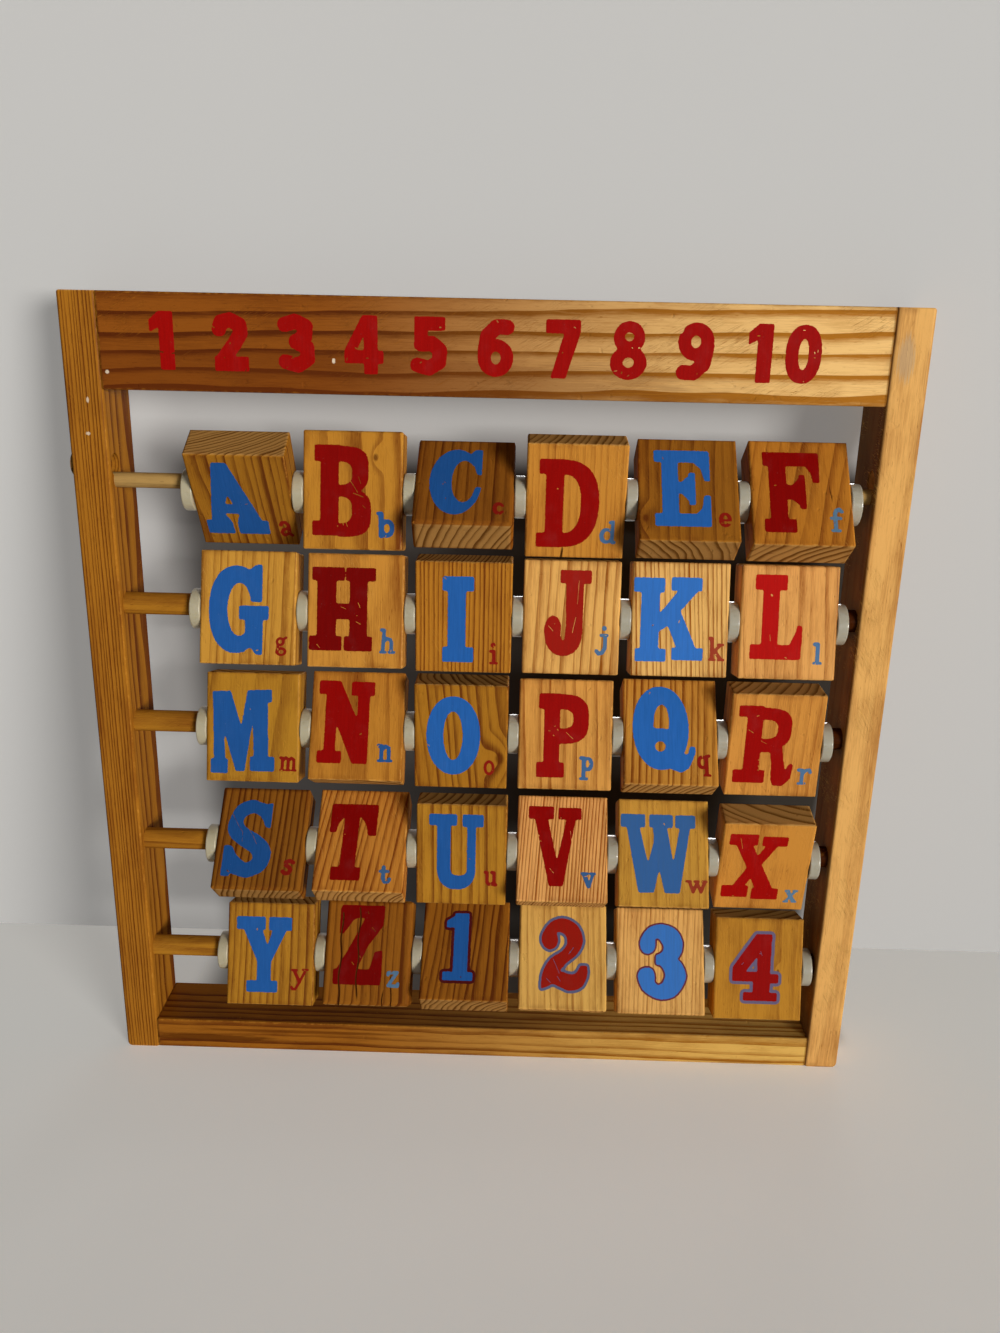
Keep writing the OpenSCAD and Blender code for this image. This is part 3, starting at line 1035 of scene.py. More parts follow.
def capital_k(ink):
    ink.add((-13.1, -12, -7, 12), (-15.6, 8.9, -5.4, 13.8), (-14.6, -14.1, -4.4, -9.7))
    ink.add((-3.3, 9.6, 6.9, 14.1), (-2.5, -13.4, 8, -9.3))
    ink.add([(-7.2, 1.6), (-0.7, 9.8), (5.8, 9.8), (-0.2, 2.7), (-3.9, -1.9), (-7.2, -4.3)])
    ink.add([(-4.2, -1.6), (-0.8, -9.6), (5.6, -9.6), (0, 2.9)])


def capital_l(ink):
    ink.add((-8.8, -11, -3.4, 13), (-11.6, 10.7, -1.1, 15.8), (-12.5, -12.3, 4.1, -7.4))
    ink.add([(0.4, -7.6), (2.4, -3), (2.8, -0.7), (4.6, -0.9), (4.4, -12), (2, -12)])


def capital_m(ink):
    ink.add([
        (-14.1, 12.3), (-7.8, 12.6), (-4, 0.2), (-1.9, 12.9), (6.5, 13.3), (6.5, 8.8), (5.1, 8.8),
        (5.4, -10.5), (0.4, -10.5), (0, 2.7), (-2.8, -15.4), (-5.8, -15.4), (-10, -1.2), (-9.4, -11.5),
        (-13.4, -11.5), (-13.8, 8),
    ])
    ink.add((-14.4, -16.2, -8.5, -11.1), (-0.8, -15.2, 7.6, -10))


def capital_n(ink):
    ink.add((-11.1, -10, -7.1, 13), (-13.6, 10.7, -6.3, 15.6), (-2.4, 10.4, 5.7, 15.4))
    ink.add((0, -13.2, 4.1, 12), (-13.3, -13.3, -4.9, -8.9))
    ink.add([(-9, 15.5), (-6.3, 15.5), (0.2, 1.6), (4.1, -13.2), (-1.2, -13.3), (-7.3, 0.8), (-9, 8)])


def capital_o(ink):
    ink.add(oval(-11.9, -13.9, 6.6, 14.9, 2.1))
    ink.cut(oval(-6.1, -8.5, 0.6, 9.5))


def capital_p(ink):
    ink.add((-9.3, 8.7, -2, 14.1), (-7.4, -12, -2, 13), (-9.9, -14.9, -0.3, -9.6))
    ink.add(bowl(-2, -3.2, 7.9, 13.9, 3))
    ink.cut(bowl(-2, 2.1, 2.6, 8.6, 3))


def capital_q(ink):
    ink.add(oval(-12.9, -13.7, 6.3, 16.1, 2.1))
    ink.cut([(-5.9, 1.1), (-5.4, 6), (-4.5, 8.6), (-2.7, 9.8), (-1.2, 8.4), (-0.5, 6), (-0.4, 0.8)])
    ink.cut(oval(-5.4, -7.3, -1.7, -3.6))
    ink.add([
        (-1, -13), (3.2, -14.5), (6, -13), (8.3, -8), (8.6, -5.4), (6.6, -5.2), (5.9, -8), (4.8, -8),
        (2, -9),
    ])


def capital_r(ink):
    ink.add((-13.3, 10.8, -5, 14.9), (-10.3, -12, -4.9, 14), (-13.7, -13.9, -2.7, -8.9))
    ink.add(bowl(-4.9, -1, 5.1, 14.2, 3))
    ink.cut(bowl(-4.9, 2.7, 0.4, 9.8, 3))
    ink.add([
        (-4.9, -2.3), (-1.5, -2.3), (-0.7, -6), (-0.4, -12.6), (0.6, -14.8), (4, -14.8), (6.4, -12),
        (6.9, -7), (6.2, -6.1), (5.4, -6.6), (4.3, -9.2), (3.4, -5), (2.7, -1), (2, 2), (-4.9, 1),
    ])


def capital_s(ink):
    ink.add(loop(
        (-5, 14.1), (-1.5, 13.2), (0.8, 12.6), (2.9, 13.2, 1), (2.9, 3.6, 1), (1, 4.2), (-0.6, 7.4),
        (-4, 9.1), (-7, 7), (-6.2, 4), (-1, 1), (3, -2.5), (4.1, -7), (2, -12), (-3.5, -14.6),
        (-7.5, -13.8), (-9.4, -13.2), (-10, -14.3, 1), (-12.8, -14.3, 1), (-12.8, -3, 1), (-10, -3.4),
        (-8.5, -6), (-5, -9), (-2.4, -8.2), (-3, -5.6), (-8, -2.5), (-11.6, 0.8), (-12.4, 5),
        (-10, 11.5),
    ))


def capital_t(ink):
    ink.add((-11.6, 8.8, 5.3, 13.4), (-10, -14.8, 0.6, -10.1))
    ink.add([(-11.6, 13), (-11.7, 2.5), (-9.4, 2.5), (-8.6, 6), (-6.5, 8.9)])
    ink.add([(5.3, 13), (5.2, 1.5), (2.2, 1.7), (1.4, 5.5), (-0.9, 8.9)])
    ink.add([(-6.5, 13), (-1.1, 13), (-1.6, -12), (-7.1, -12)])


def capital_u(ink):
    ink.add((-8.7, -5, -3.9, 13), (2, -5, 5.1, 13), oval(-8.7, -13.2, 5.1, 3.2, 2.3))
    ink.cut((-3.9, -5, 2, 14), oval(-3.9, -7.8, 2, -2, 3))
    ink.add((-11.6, 11.1, -1.6, 15.4), (0.2, 10.8, 7.7, 15.4))


def capital_v(ink):
    ink.add((-12.2, 10.4, -3.1, 15.1), (-1.5, 10.4, 6.8, 14.7))
    ink.add([(-10.1, 11), (-4.7, -13.4), (0.3, -13.4), (4.8, 11), (1.5, 11), (-1.9, -4.4), (-5.4, 11)])


def capital_w(ink):
    ink.add((-15.2, 8.9, -6.4, 13.6), (-5.1, 8.9, 3.5, 13.6), (4.2, 8.9, 11.4, 13.6))
    ink.add([
        (-13.2, 9.5), (-8.9, -13.9), (-3.4, -13.9), (-1.5, -5.5), (0.4, -13.9), (5.7, -13.9),
        (9.6, 9.5), (6, 9.5), (3.5, -3.4), (1.2, 9.5), (-3.6, 9.5), (-3.4, 3.8), (-5.5, -3.7),
        (-8.6, 9.5),
    ])


def capital_x(ink):
    ink.add((-13.5, 9.9, -3.4, 14.7), (-2, 9.7, 6.9, 13.9))
    ink.add((-14.1, -13.4, -4.5, -8.2), (-3.2, -14.2, 6.3, -9.1))
    ink.add([(-11.2, 10.5), (-5.4, 10.5), (-1.1, 1.6), (4.5, -10), (-2, -10), (-6.1, -0.1)])
    ink.add([(-0.4, 10), (3.8, 10), (-1.1, 1.4), (-6.4, -9), (-10.7, -9), (-6.1, -0.1), (-3.1, 5)])


def capital_y(ink):
    ink.add((-12.9, 8.9, -2.2, 13.8), (-0.9, 8.8, 7.6, 13.8), (-8.8, -14.3, 2.6, -9.9))
    ink.add([
        (-10.3, 9.2), (-5.1, -2.6), (-5.1, -12), (0.1, -12), (0.1, -3), (5.8, 9.2), (0.6, 9.2),
        (-1.4, 3.1), (-3.4, 9.2),
    ])


def capital_z(ink):
    ink.add((-10.7, 12.4, 5.5, 16.9), (-12.5, -11.7, 5.1, -6))
    ink.add([(-11, 16), (-11, 6.4), (-9.6, 6.4), (-8, 8.5), (-6, 11.5), (-4, 12.6)])
    ink.add([
        (-1.3, 13), (5.4, 13), (5.1, 9.5), (0, 2.4), (-3.6, -5.5), (-3.6, -8), (-12.4, -8),
        (-7.6, 0.6),
    ])
    ink.add([(0.6, -6.2), (1.5, -3.4), (2.4, 0.3), (5.4, 0.8), (5.3, -10)])


def numeral_1(ink):
    ink.add((-4.4, -9, 0.9, 13.9), (-8.1, -11.6, 3, -8.5))
    ink.add([(-7.5, 8.4), (-7.5, 10.8), (-2.6, 13.9), (0, 13.9), (0, 8.4)])


def numeral_2(ink):
    ink.add(loop(
        (-8, -11.6, 1), (-7.4, -6), (-4.7, -1), (-0.6, 1.8), (1.5, 4.6), (1, 7.6), (-1.2, 8.8),
        (-2.4, 8.6, 1), (-1.9, 6.5), (-2.3, 3.9), (-4.7, 2.4), (-7.1, 3.8), (-7.9, 7), (-5, 12),
        (0, 13.9), (5.4, 11.4), (7.4, 6), (5.6, 1.4), (1.7, -2), (-1.1, -5.1, 1), (3.1, -6.2),
        (5.2, -5.4), (6.4, -3, 1), (9, -3, 1), (9, -6.6), (7, -10.6), (2.8, -12.1), (-0.8, -10.9),
        (-3.6, -9.9), (-5.8, -10.9),
    ))


def numeral_3(ink):
    ink.add(loop(
        (0.5, 13.1), (-4.5, 11.5), (-7.4, 7), (-6.9, 3.6), (-4.9, 2.4), (-2.6, 3.4), (-1.8, 5.6),
        (-2, 7.9, 1), (-0.5, 7.8), (1.2, 5.3), (0.6, 3.2), (-1.6, 1.9, 1), (-1.6, -1.3, 1), (0.4, -2),
        (1.7, -4.8), (0.8, -7.6), (-0.9, -8.6), (-2.2, -7.5), (-2.2, -5.4), (-3, -3.2), (-4.9, -2.5),
        (-7.4, -3.4), (-8.3, -6.3), (-6, -11), (-0.3, -13.6), (5.5, -12), (9.2, -6), (8.2, -1.5),
        (6.2, 0.8, 1), (7.8, 3.4), (8.1, 7.5), (5.6, 11.5),
    ))


def numeral_4(ink):
    ink.add([
        (-1.1, 13.1), (4.7, 13.1), (4.3, -1.6), (7.4, -1.7), (7.4, -5.1), (4.4, -5.2), (4.3, -8.6),
        (7.1, -8.7), (7.1, -11.9), (-5.4, -11.9), (-5.4, -8.7), (-1.8, -8.6), (-1.8, -4.6),
        (-9.5, -4.6), (-9.5, 0.6),
    ])
    ink.cut([(-4.7, -1), (-0.4, -1), (-0.6, 4.6)])


# Small letters at the lower right, drawn with a narrow brush


def small_a(ink):
    ink.line(1.3, (10.9, -9.9), (11.4, -8.8), (12.6, -8.6), (13.4, -9.8), (13.4, -13.4), (14.2, -14.3))
    ink.line(1.2, (13.2, -11.2), (11.6, -11.8), (10.9, -13.2), (11.6, -14.4), (13.2, -13.6))


def small_b(ink):
    ink.line(1.7, (9.2, -7.4), (9.4, -14.2))
    ink.line(1.1, (8.2, -7.1), (9.4, -7.1))
    ink.add(oval(8.6, -14.8, 13.6, -8.9, 2.2))
    ink.cut(oval(10.2, -13.3, 12.1, -10.4))


def small_c(ink):
    ink.add(oval(9.3, -14.8, 13.1, -9.4, 2.2))
    ink.cut(oval(10.7, -13.5, 12.2, -10.8), (11.8, -13.0, 14, -11.4))


def small_d(ink):
    ink.line(1.1, (11.4, -6.5), (12.3, -6.3), (12.3, -13.3), (13.0, -13.3))
    ink.add(oval(8.1, -13.7, 12.6, -8.4, 2.2))
    ink.cut(oval(9.5, -12.6, 11.7, -9.4))


def small_e(ink):
    ink.add(oval(9.2, -13.7, 13.3, -8.4, 2.2))
    ink.cut(oval(10.6, -12.6, 12.0, -9.4), (12.0, -12.5, 14, -11.6))
    ink.add((10.0, -11.6, 13.1, -10.8))


def small_f(ink):
    ink.line(1.3, (10.2, -13.2), (10.2, -7.6), (10.7, -6.3), (11.7, -5.9), (12.4, -6.7))
    ink.line(1.1, (9.0, -9.1), (11.9, -9.1))
    ink.line(1.0, (9.1, -13.5), (11.4, -13.5))


def small_g(ink):
    ink.add(oval(9.5, -12.6, 12.6, -9.6), oval(9.4, -15.9, 13.2, -12.9))
    ink.cut(oval(10.4, -11.8, 11.6, -10.4), oval(10.6, -15.2, 12.2, -13.8))
    ink.line(0.9, (12.2, -10.2), (13.0, -9.7))
    ink.line(0.9, (10.2, -12.2), (10.2, -13.2))


def small_h(ink):
    ink.line(1.2, (8.9, -6.1), (9.7, -6.2), (9.3, -13.2))
    ink.line(1.2, (9.5, -10.0), (10.6, -8.9), (11.8, -9.3), (12.2, -10.4), (12.1, -13.2))
    ink.serif(8.5, 10.2, -13.5)
    ink.serif(11.4, 13.1, -13.5)


def small_i(ink):
    ink.line(1.7, (10.1, -9.1), (10.1, -9.2))
    ink.line(1.2, (9.4, -11.3), (10.4, -11.3), (10.4, -15.2))
    ink.serif(9.3, 11.4, -15.4)


def small_j(ink):
    ink.line(1.6, (11.0, -3.2), (11.0, -3.3))
    ink.line(1.1, (10.0, -5.6), (12.0, -5.6))
    ink.line(1.3, (11.4, -5.8), (11.4, -9.8), (10.6, -11.4), (9.3, -11.8), (8.6, -10.9))


def small_k(ink):
    ink.line(1.3, (10.2, -5.9), (10.8, -6.0), (11.0, -12.8))
    ink.line(1.1, (11.3, -10.6), (13.6, -8.3))
    ink.line(1.2, (11.9, -10.2), (13.9, -12.8))
    ink.serif(12.9, 14.5, -8.0)
    ink.serif(10.2, 11.9, -13.0)
    ink.serif(13.1, 14.8, -13.0)


def small_l(ink):
    ink.line(1.4, (9.0, -6.9), (10.0, -6.9), (10.0, -13.0))
    ink.serif(8.9, 11.2, -13.2)


def small_m(ink):
    ink.line(1.1, (9.8, -10.3), (10.5, -10.4), (10.3, -14.4))
    ink.line(1.1, (10.5, -11.2), (11.6, -10.2), (12.4, -10.8), (12.3, -14.4))
    ink.line(1.1, (12.5, -11.2), (13.5, -10.3), (14.4, -10.9), (14.3, -14.3))
    for x in (10.3, 12.3, 14.4):
        ink.line(0.8, (x - 0.6, -14.6), (x + 0.6, -14.6))


def small_n(ink):
    ink.line(1.3, (7.8, -6.8), (8.9, -6.9), (8.9, -11.8))
    ink.line(1.3, (9.0, -8.2), (10.2, -7.0), (11.4, -7.6), (11.5, -11.8))
    ink.serif(7.9, 9.9, -12.0)
    ink.serif(10.7, 12.4, -12.0)


def small_o(ink):
    ink.add(oval(8.0, -13.9, 11.8, -8.2))
    ink.cut(oval(9.0, -12.8, 10.8, -9.3))


def small_p(ink):
    ink.line(1.4, (5.6, -7.9), (6.5, -8.0), (6.5, -14.8))
    ink.add(oval(5.9, -12.4, 9.8, -7.5, 2.2))
    ink.cut(oval(7.2, -11.2, 8.4, -8.6))
    ink.line(1.0, (5.5, -15.0), (7.7, -15.0))


def small_q(ink):
    ink.line(1.2, (12.9, -8.4), (12.1, -8.6), (12.1, -15.0))
    ink.add(oval(8.9, -13.1, 12.5, -8.2, 2.2))
    ink.cut(oval(10.1, -11.9, 11.4, -9.4))
    ink.serif(11.3, 13.2, -15.2)


def small_r(ink):
    ink.line(1.3, (9.1, -8.6), (10.4, -8.7), (10.4, -13.4))
    ink.line(1.2, (10.5, -10.0), (11.5, -8.7), (12.7, -8.5), (13.1, -9.4))
    ink.serif(9.3, 11.5, -13.7)


def small_s(ink):
    ink.line(
        1.5, (12.5, -8.7), (11.2, -8.1), (9.9, -8.6), (9.9, -9.7), (11.1, -10.4), (11.8, -11.4),
        (11.1, -12.6), (9.8, -12.7), (9.0, -12.0),
    )


def small_t(ink):
    ink.line(1.4, (8.8, -9.8), (8.8, -13.8), (9.4, -15.0), (10.6, -14.9), (11.1, -14.1))
    ink.line(1.1, (7.6, -11.3), (10.4, -11.3))


def small_u(ink):
    ink.line(1.3, (8.7, -6.3), (9.3, -6.4), (9.3, -10.0), (9.9, -10.9), (11.0, -10.8), (11.8, -10.0))
    ink.line(1.3, (11.0, -6.3), (11.8, -6.4), (11.9, -11.0), (12.5, -11.0))


def small_v(ink):
    ink.line(1.6, (7.7, -8.9), (9.4, -13.0))
    ink.line(1.1, (10.9, -8.9), (9.5, -13.2))
    ink.line(1.0, (7.0, -8.7), (8.9, -8.7))
    ink.line(1.0, (10.0, -8.7), (11.5, -8.7))


def small_w(ink):
    ink.line(1.2, (9.2, -9.7), (10.4, -13.2), (11.9, -10.2), (13.2, -13.2), (14.6, -9.7))
    for x in (9.0, 11.8, 14.6):
        ink.line(0.9, (x - 0.8, -9.6), (x + 0.6, -9.6))


def small_x(ink):
    ink.line(1.5, (9.8, -10.3), (12.4, -14.7))
    ink.line(1.0, (12.5, -10.3), (9.7, -14.7))
    for x, z in ((9.7, -10.0), (12.6, -10.0), (9.6, -15.0), (12.6, -15.0)):
        ink.line(0.9, (x - 0.6, z), (x + 0.6, z))


def small_y(ink):
    ink.line(1.3, (8.9, -6.0), (10.8, -10.2))
    ink.line(1.0, (13.0, -5.8), (10.6, -10.6), (9.3, -12.8), (8.2, -12.8), (7.9, -12.0))
    ink.serif(8.0, 9.8, -5.7)
    ink.serif(12.0, 13.8, -5.5)


def small_z(ink):
    ink.line(1.2, (7.8, -7.8), (7.9, -7.0), (11.1, -6.9), (8.0, -11.6), (11.4, -11.8), (11.5, -10.9))


# Plain figures for the top rail, 8 units wide and 12 high, from their lower left corner
FIGURE_LINE = 3.1


def figure_0(ink):
    ink.add(oval(0.2, 0, 7.8, 12, 2.3))
    ink.cut(oval(2.9, 2.8, 5.1, 9.2))


def figure_1(ink):
    ink.add((2.8, 0, 6.0, 12), [(2.9, 12), (0.8, 10.2), (0.8, 7.6), (2.9, 8.8)])


def figure_2(ink):
    ink.line(
        FIGURE_LINE, (1.6, 8.6), (2.1, 10.0), (4, 10.5), (6.0, 9.6), (6.2, 7.8), (4.9, 5.8), (2.0, 2.0)
    )
    ink.add((0.4, 0, 7.8, 3))


def figure_3(ink):
    ink.line(FIGURE_LINE, (1.5, 9.8), (3.8, 10.5), (6, 9.5), (5.8, 7.4), (3.8, 6.4))
    ink.line(FIGURE_LINE, (3.8, 6.3), (6.2, 5.2), (6.3, 2.9), (4.2, 1.5), (1.5, 2.2))


def figure_4(ink):
    ink.add([
        (3.9, 12), (0, 4.8), (0, 2.2), (4.2, 2.2), (4.2, 0), (7.2, 0), (7.2, 2.2), (8.4, 2.2),
        (8.4, 4.9), (7.2, 4.9), (7.2, 12),
    ])
    ink.cut([(4.2, 4.9), (2.7, 4.9), (4.2, 8)])


def figure_5(ink):
    ink.add((0.8, 9.2, 7.4, 12), (0.8, 5.4, 3.7, 12))
    ink.line(FIGURE_LINE, (2.3, 6.4), (4.6, 6.6), (6.3, 5.2), (6.1, 2.8), (4, 1.5), (1.5, 2.1))


def figure_6(ink):
    ink.line(FIGURE_LINE, (6.4, 10.2), (4.2, 10.3), (2.2, 8.4), (1.7, 5.2), (1.8, 3.8))
    ink.add(oval(0.2, 0, 7.8, 7.8))
    ink.cut(oval(3, 2.6, 5.1, 5.2))


def figure_7(ink):
    ink.add((0.4, 9.2, 7.8, 12), [(4.4, 9.4), (7.8, 9.4), (4.9, 0), (1.6, 0)])


def figure_8(ink):
    ink.add(oval(0.7, 5.3, 7.3, 12), oval(0.1, 0, 7.9, 7))
    ink.cut(oval(3.0, 7.9, 5.0, 9.7), oval(2.8, 2.5, 5.2, 4.6))


def figure_9(ink):
    figure_6(ink.at(8, 12, -1))


# Every drawing function by its name
DRAWN = ("capital_", "numeral_", "small_", "figure_")
SHAPES = {name: draw for name, draw in list(globals().items()) if name.startswith(DRAWN)}
# The blocks whose capital or numeral is blue
BLUE_FIRST = "acegikmoqsuwy13"
# How far the wood shows through a small letter's paint, and through a capital's
THIN_SMALL = {
    "d": 0.35, "f": 0.55, "h": 0.25, "j": 0.40, "k": 0.30, "l": 0.45, "p": 0.25, "r": 0.45, "t": 0.25,
    "v": 0.20, "w": 0.25, "x": 0.60, "z": 0.50,
}
THIN_CAPITAL = {"w": 0.14, "3": 0.12, "2": 0.06, "j": 0.05, "k": 0.05}
# Scratches and flaws through a capital's paint: width, then points
SCRATCHES = {
    "b": [
        (0.28, (-1.2, 3.6), (0.4, 1.4), (1.6, -0.6)), (0.22, (1.8, 4.5), (2.6, 2.2)),
        (0.32, (0.2, -0.8), (3.4, -2.0)), (0.26, (-3.6, -8.8), (-2.9, -11.2)),
        (0.22, (-2.4, -9.6), (-1.6, -11.6)), (0.24, (3.2, -4.6), (4.2, -5.6)),
    ],
    "c": [(0.5, (-7.1, -2.0), (-6.9, -1.8)), (0.26, (-6.6, -0.9), (-6.1, -1.5))],
    "h": [
        (0.32, (0.8, 2.8), (1.5, 1.1)), (0.26, (0.2, -3.6), (1.8, -4.4)),
        (0.26, (-12.8, -11.4), (-11.8, -12.6)), (0.22, (-4.8, 1.2), (-3.2, 0.6)),
    ],
    "j": [
        (0.22, (2.2, 12.4), (1.8, 4.6)), (0.26, (1.4, 0.2), (0.4, -5.0)),
        (0.24, (-7.6, -2.8), (-6.0, -4.6)),
    ],
    "k": [(0.5, (-9.1, -2.1), (-8.9, -1.9))],
    "l": [(0.7, (-6.2, 9.2), (-6.0, 8.9)), (0.25, (-6.1, -4.0), (-5.8, -6.2))],
    "p": [
        (0.5, (-5.7, 1.2), (-5.4, 1.1)), (0.4, (-4.2, -0.3), (-4.0, -0.5)),
        (0.35, (-2.8, 1.8), (-2.6, 1.4)), (0.24, (0.2, 0.8), (2.6, -1.4)),
    ],
    "r": [
        (0.26, (-9.6, 6.0), (-7.8, 4.8)), (0.22, (-5.0, 2.0), (-3.0, 0.9)),
        (0.55, (-5.1, -5.2), (-4.7, -5.4)), (0.45, (-5.0, -7.5), (-4.6, -7.7)),
        (0.4, (-5.1, -9.0), (-4.8, -9.1)),
    ],
    "s": [
        (0.2, (-11.4, 8.8), (-8.6, 4.2), (-6.9, 2.0), (-6.7, -1.6)),
        (0.2, (-4.8, 3.2), (-2.8, 0.4), (-1.4, -2.4)), (0.26, (-9.4, -3.4), (-8.6, -4.8)),
    ],
    "u": [(0.4, (0.9, 4.6), (1.6, 3.9))],
    "v": [
        (0.5, (-8.7, 4.6), (-8.4, 4.3)), (0.45, (-7.9, 2.6), (-7.7, 2.4)),
        (0.26, (-4.4, -7.2), (-3.0, -8.8)), (0.22, (2.8, 6.4), (3.2, 3.0)),
    ],
    "x": [(0.24, (-9.7, 12.9), (-8.6, 8.4))],
    "z": [
        (0.4, (-5.8, -3.6), (-5.0, -4.6)), (0.34, (-3.2, -1.2), (-2.6, -2.0)),
        (0.25, (1.0, 9.0), (2.4, 7.6)),
    ],
    "2": [
        (0.22, (-3.6, -0.8), (-1.2, -6.0)), (0.22, (-6.0, -7.8), (-4.4, -9.4)),
        (0.22, (-2.0, -7.0), (-0.8, -8.8)), (0.24, (2.2, 1.0), (4.0, 3.4)),
    ],
    "4": [(0.22, (0.6, 6.8), (1.2, 5.0)), (0.26, (-6.2, 1.6), (-5.4, 2.4))],
}
# A numeral's border: its width in mm and its colour
BORDERS = {
    "1": (1.05, (0.085, 0.008, 0.008, 1)),
    "2": (0.95, (0.115, 0.125, 0.23, 1)),
    "3": (0.60, (0.15, 0.03, 0.05, 1)),
    "4": (1.10, (0.15, 0.12, 0.21, 1)),
}


def drawn(shape, window, seed, spread, step=0.16):
    """The ink of one named shape, softened by spread and worn."""
    ink = Ink(*window, step=step)
    SHAPES[shape](ink)
    ink.soften(spread)
    ink.wear(np.random.default_rng(seed), chips=1)
    return ink


CAPITAL_WINDOW = (-16.0, -18.0, 14.0, 18.0)
SMALL_WINDOW = (4.6, -17.0, 15.7, -2.0)
FACE = BLOCK_HALF[1]
# How wide the flaws are in paint, of their widths in the tables
SCRATCH_SCALE, CRACK_SCALE = 0.75, 1.2


def flaw(ink, name):
    """Scratches in the paint, and the wood's cracks where they run through it."""
    for width, *points in SCRATCHES.get(name, ()):
        ink.scrape(SCRATCH_SCALE * width, *points)
    for x, top, bottom, width in CRACKS.get(name, ()):
        heights = np.arange(bottom, top, 1.0)
        ink.scrape(CRACK_SCALE * width, *[(x + crack_path(x, z), z) for z in heights])


def two_paints(name):
    """Colour and material slot of a block's first figure and of the other one."""
    paints = [(RED, "paint_red"), (BLUE, "paint_blue")]
    return reversed(paints) if name in BLUE_FIRST else paints


def letter_block(block):
    """The capital and the small letter of a block, in the two colours."""
    name, tilt, _, shade, grain = block
    centre, body = block_centre(name), "block_" + name
    (first, slot), (second, other_slot) = two_paints(name)
    # The capital's shade, which the small letter's lightness follows, is on some blocks partly a painted reflection
    fill = paint("paint_" + name, tinted(first, shade), centre, tilt, grain, THIN_CAPITAL.get(name, 0.0))
    other = tinted(second, 0.55 + 0.25 * shade)
    small = paint("paint_small_" + name, other, centre, tilt, grain, THIN_SMALL.get(name, 0.06))
    ink = drawn("capital_" + name, CAPITAL_WINDOW, grain.seed, spread=0.34)
    flaw(ink, name)
    paint_piece("capital_" + name, ink.outlines(), centre, tilt, FACE, body, slot, fill)
    ink = drawn("small_" + name, SMALL_WINDOW, grain.seed + 50, spread=0.15, step=0.09)
    paint_piece("small_" + name, ink.outlines(), centre, tilt, FACE, body, other_slot, small)


def numeral_block(block):
    """A numeral with its border, which is everything within its width of the numeral's outline."""
    name, tilt, _, shade, grain = block
    centre, body = block_centre(name), "block_" + name
    (first, slot), (_, edge_slot) = two_paints(name)
    width, edge_colour = BORDERS[name]
    fill = paint("paint_" + name, tinted(first, shade), centre, tilt, grain, THIN_CAPITAL.get(name, 0.0))
    edge = paint("paint_border_" + name, edge_colour, centre, tilt, grain)
    ink = drawn("numeral_" + name, CAPITAL_WINDOW, grain.seed, spread=0.28)
    border = Ink(*CAPITAL_WINDOW)
    for ring in ink.outlines():
        border.line(2 * width, *[tuple(point) for point in ring], tuple(ring[0]))
    border.field[ink.field > PAINTED] = 1.0
    border.soften(spread=0.2)
    flaw(ink, name)
    paint_piece("numeral_" + name, ink.outlines(), centre, tilt, FACE, body, slot, fill, lift=0.02)
    paint_piece("border_" + name, border.outlines(), centre, tilt, FACE, body, edge_slot, edge)


for block in BLOCKS:
    if block.name.isdigit():
        numeral_block(block)
    else:
        letter_block(block)


# Plain figures along the top rail

# Left side of the first figure, and from one figure and one digit to the next, in mm
FIRST_FIGURE, FIGURE_PITCH, DIGIT_PITCH = -108, 20.6, 12.6
# How tall the figures are, and how far above the middle of the rail's face, in mm
FIGURE_TALL, FIGURE_RAISE = 17.5, 0.4
RAIL_WINDOW = (-112, -12, 112, 12)


def rail_figures():
    low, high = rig.box("top_rail")
    centre = (low + high) / 2
    face = (high.y - low.y) / 2 / MM
    red = paint("paint_rail", tinted(RED, 1.15), centre, 0, FRAME_WOOD["top_rail"]["grain"])
    ink = Ink(*RAIL_WINDOW)
    bottom = FIGURE_RAISE - FIGURE_TALL / 2
    for number in range(1, 11):
        for k, digit in enumerate(str(number)):
            left = FIRST_FIGURE + (number - 1) * FIGURE_PITCH + k * DIGIT_PITCH
            SHAPES["figure_" + digit](ink.at(left, bottom, FIGURE_TALL / 12))
    ink.soften(spread=0.3)
    ink.wear(np.random.default_rng(77), chips=30)
    paint_piece("rail_figures", ink.outlines(), centre, 0, face, "frame", "paint_red", red)


rail_figures()


# Floor, backdrop and light

# PALE is the room round them as the camera sees it
PALE = (0.66, 0.65, 0.625, 1)
FLOOR = (0.90, 0.885, 0.84)
FLOOR_SIZE = 12
WALL = (0.36, 0.355, 0.345)
DUSK = (0.02, 0.015, 0.01, 1)
ROOM_LIGHT, ROOM_LEVEL = (1.0, 0.985, 0.96, 1), 0.10


def shade_behind(m, p, end):
    """How dark the blocks keep the stage behind them: 1 in their shade, 0 outside.

    It lies behind the blocks' width, softly at their left, from the toy's back to end = (fades
    from, gone at) in mm along Y. Above the top row only the top rail's light shade is left.
    """
    x, y, z = m.split(p)
    across = m.step(x, -125, -106) * m.step(x, 146, 134) * m.step(x, -110, 30, 0.8, 1.0)
    deep = m.step(y, 4, 16) * m.step(y, end[1], end[0])
    high = m.step(z, 226, 214, 0.2, 1.0) * m.step(z, 272, 248)
    return across * deep * high


def stage_paint(name, colour, glow, cloud, end, depth, **settings):
    """A plain pale paint that fades to DUSK in the blocks' shade, by depth, and glows by glow.

    cloud is the size, seed and detail of its faint clouds; end is where the shade ends.
    """
    m = Material(name)
    p = m.place()
    shade = shade_behind(m, p, end)
    plain = m.mix(m.noise(p, *cloud), tinted(colour, 0.97), tinted(colour, 1.0))
    m.set(Base_Color=m.mix(shade * depth, plain, DUSK), **settings)
    m.glow_to_camera(colour, (1.0 - shade) * glow)
    return m


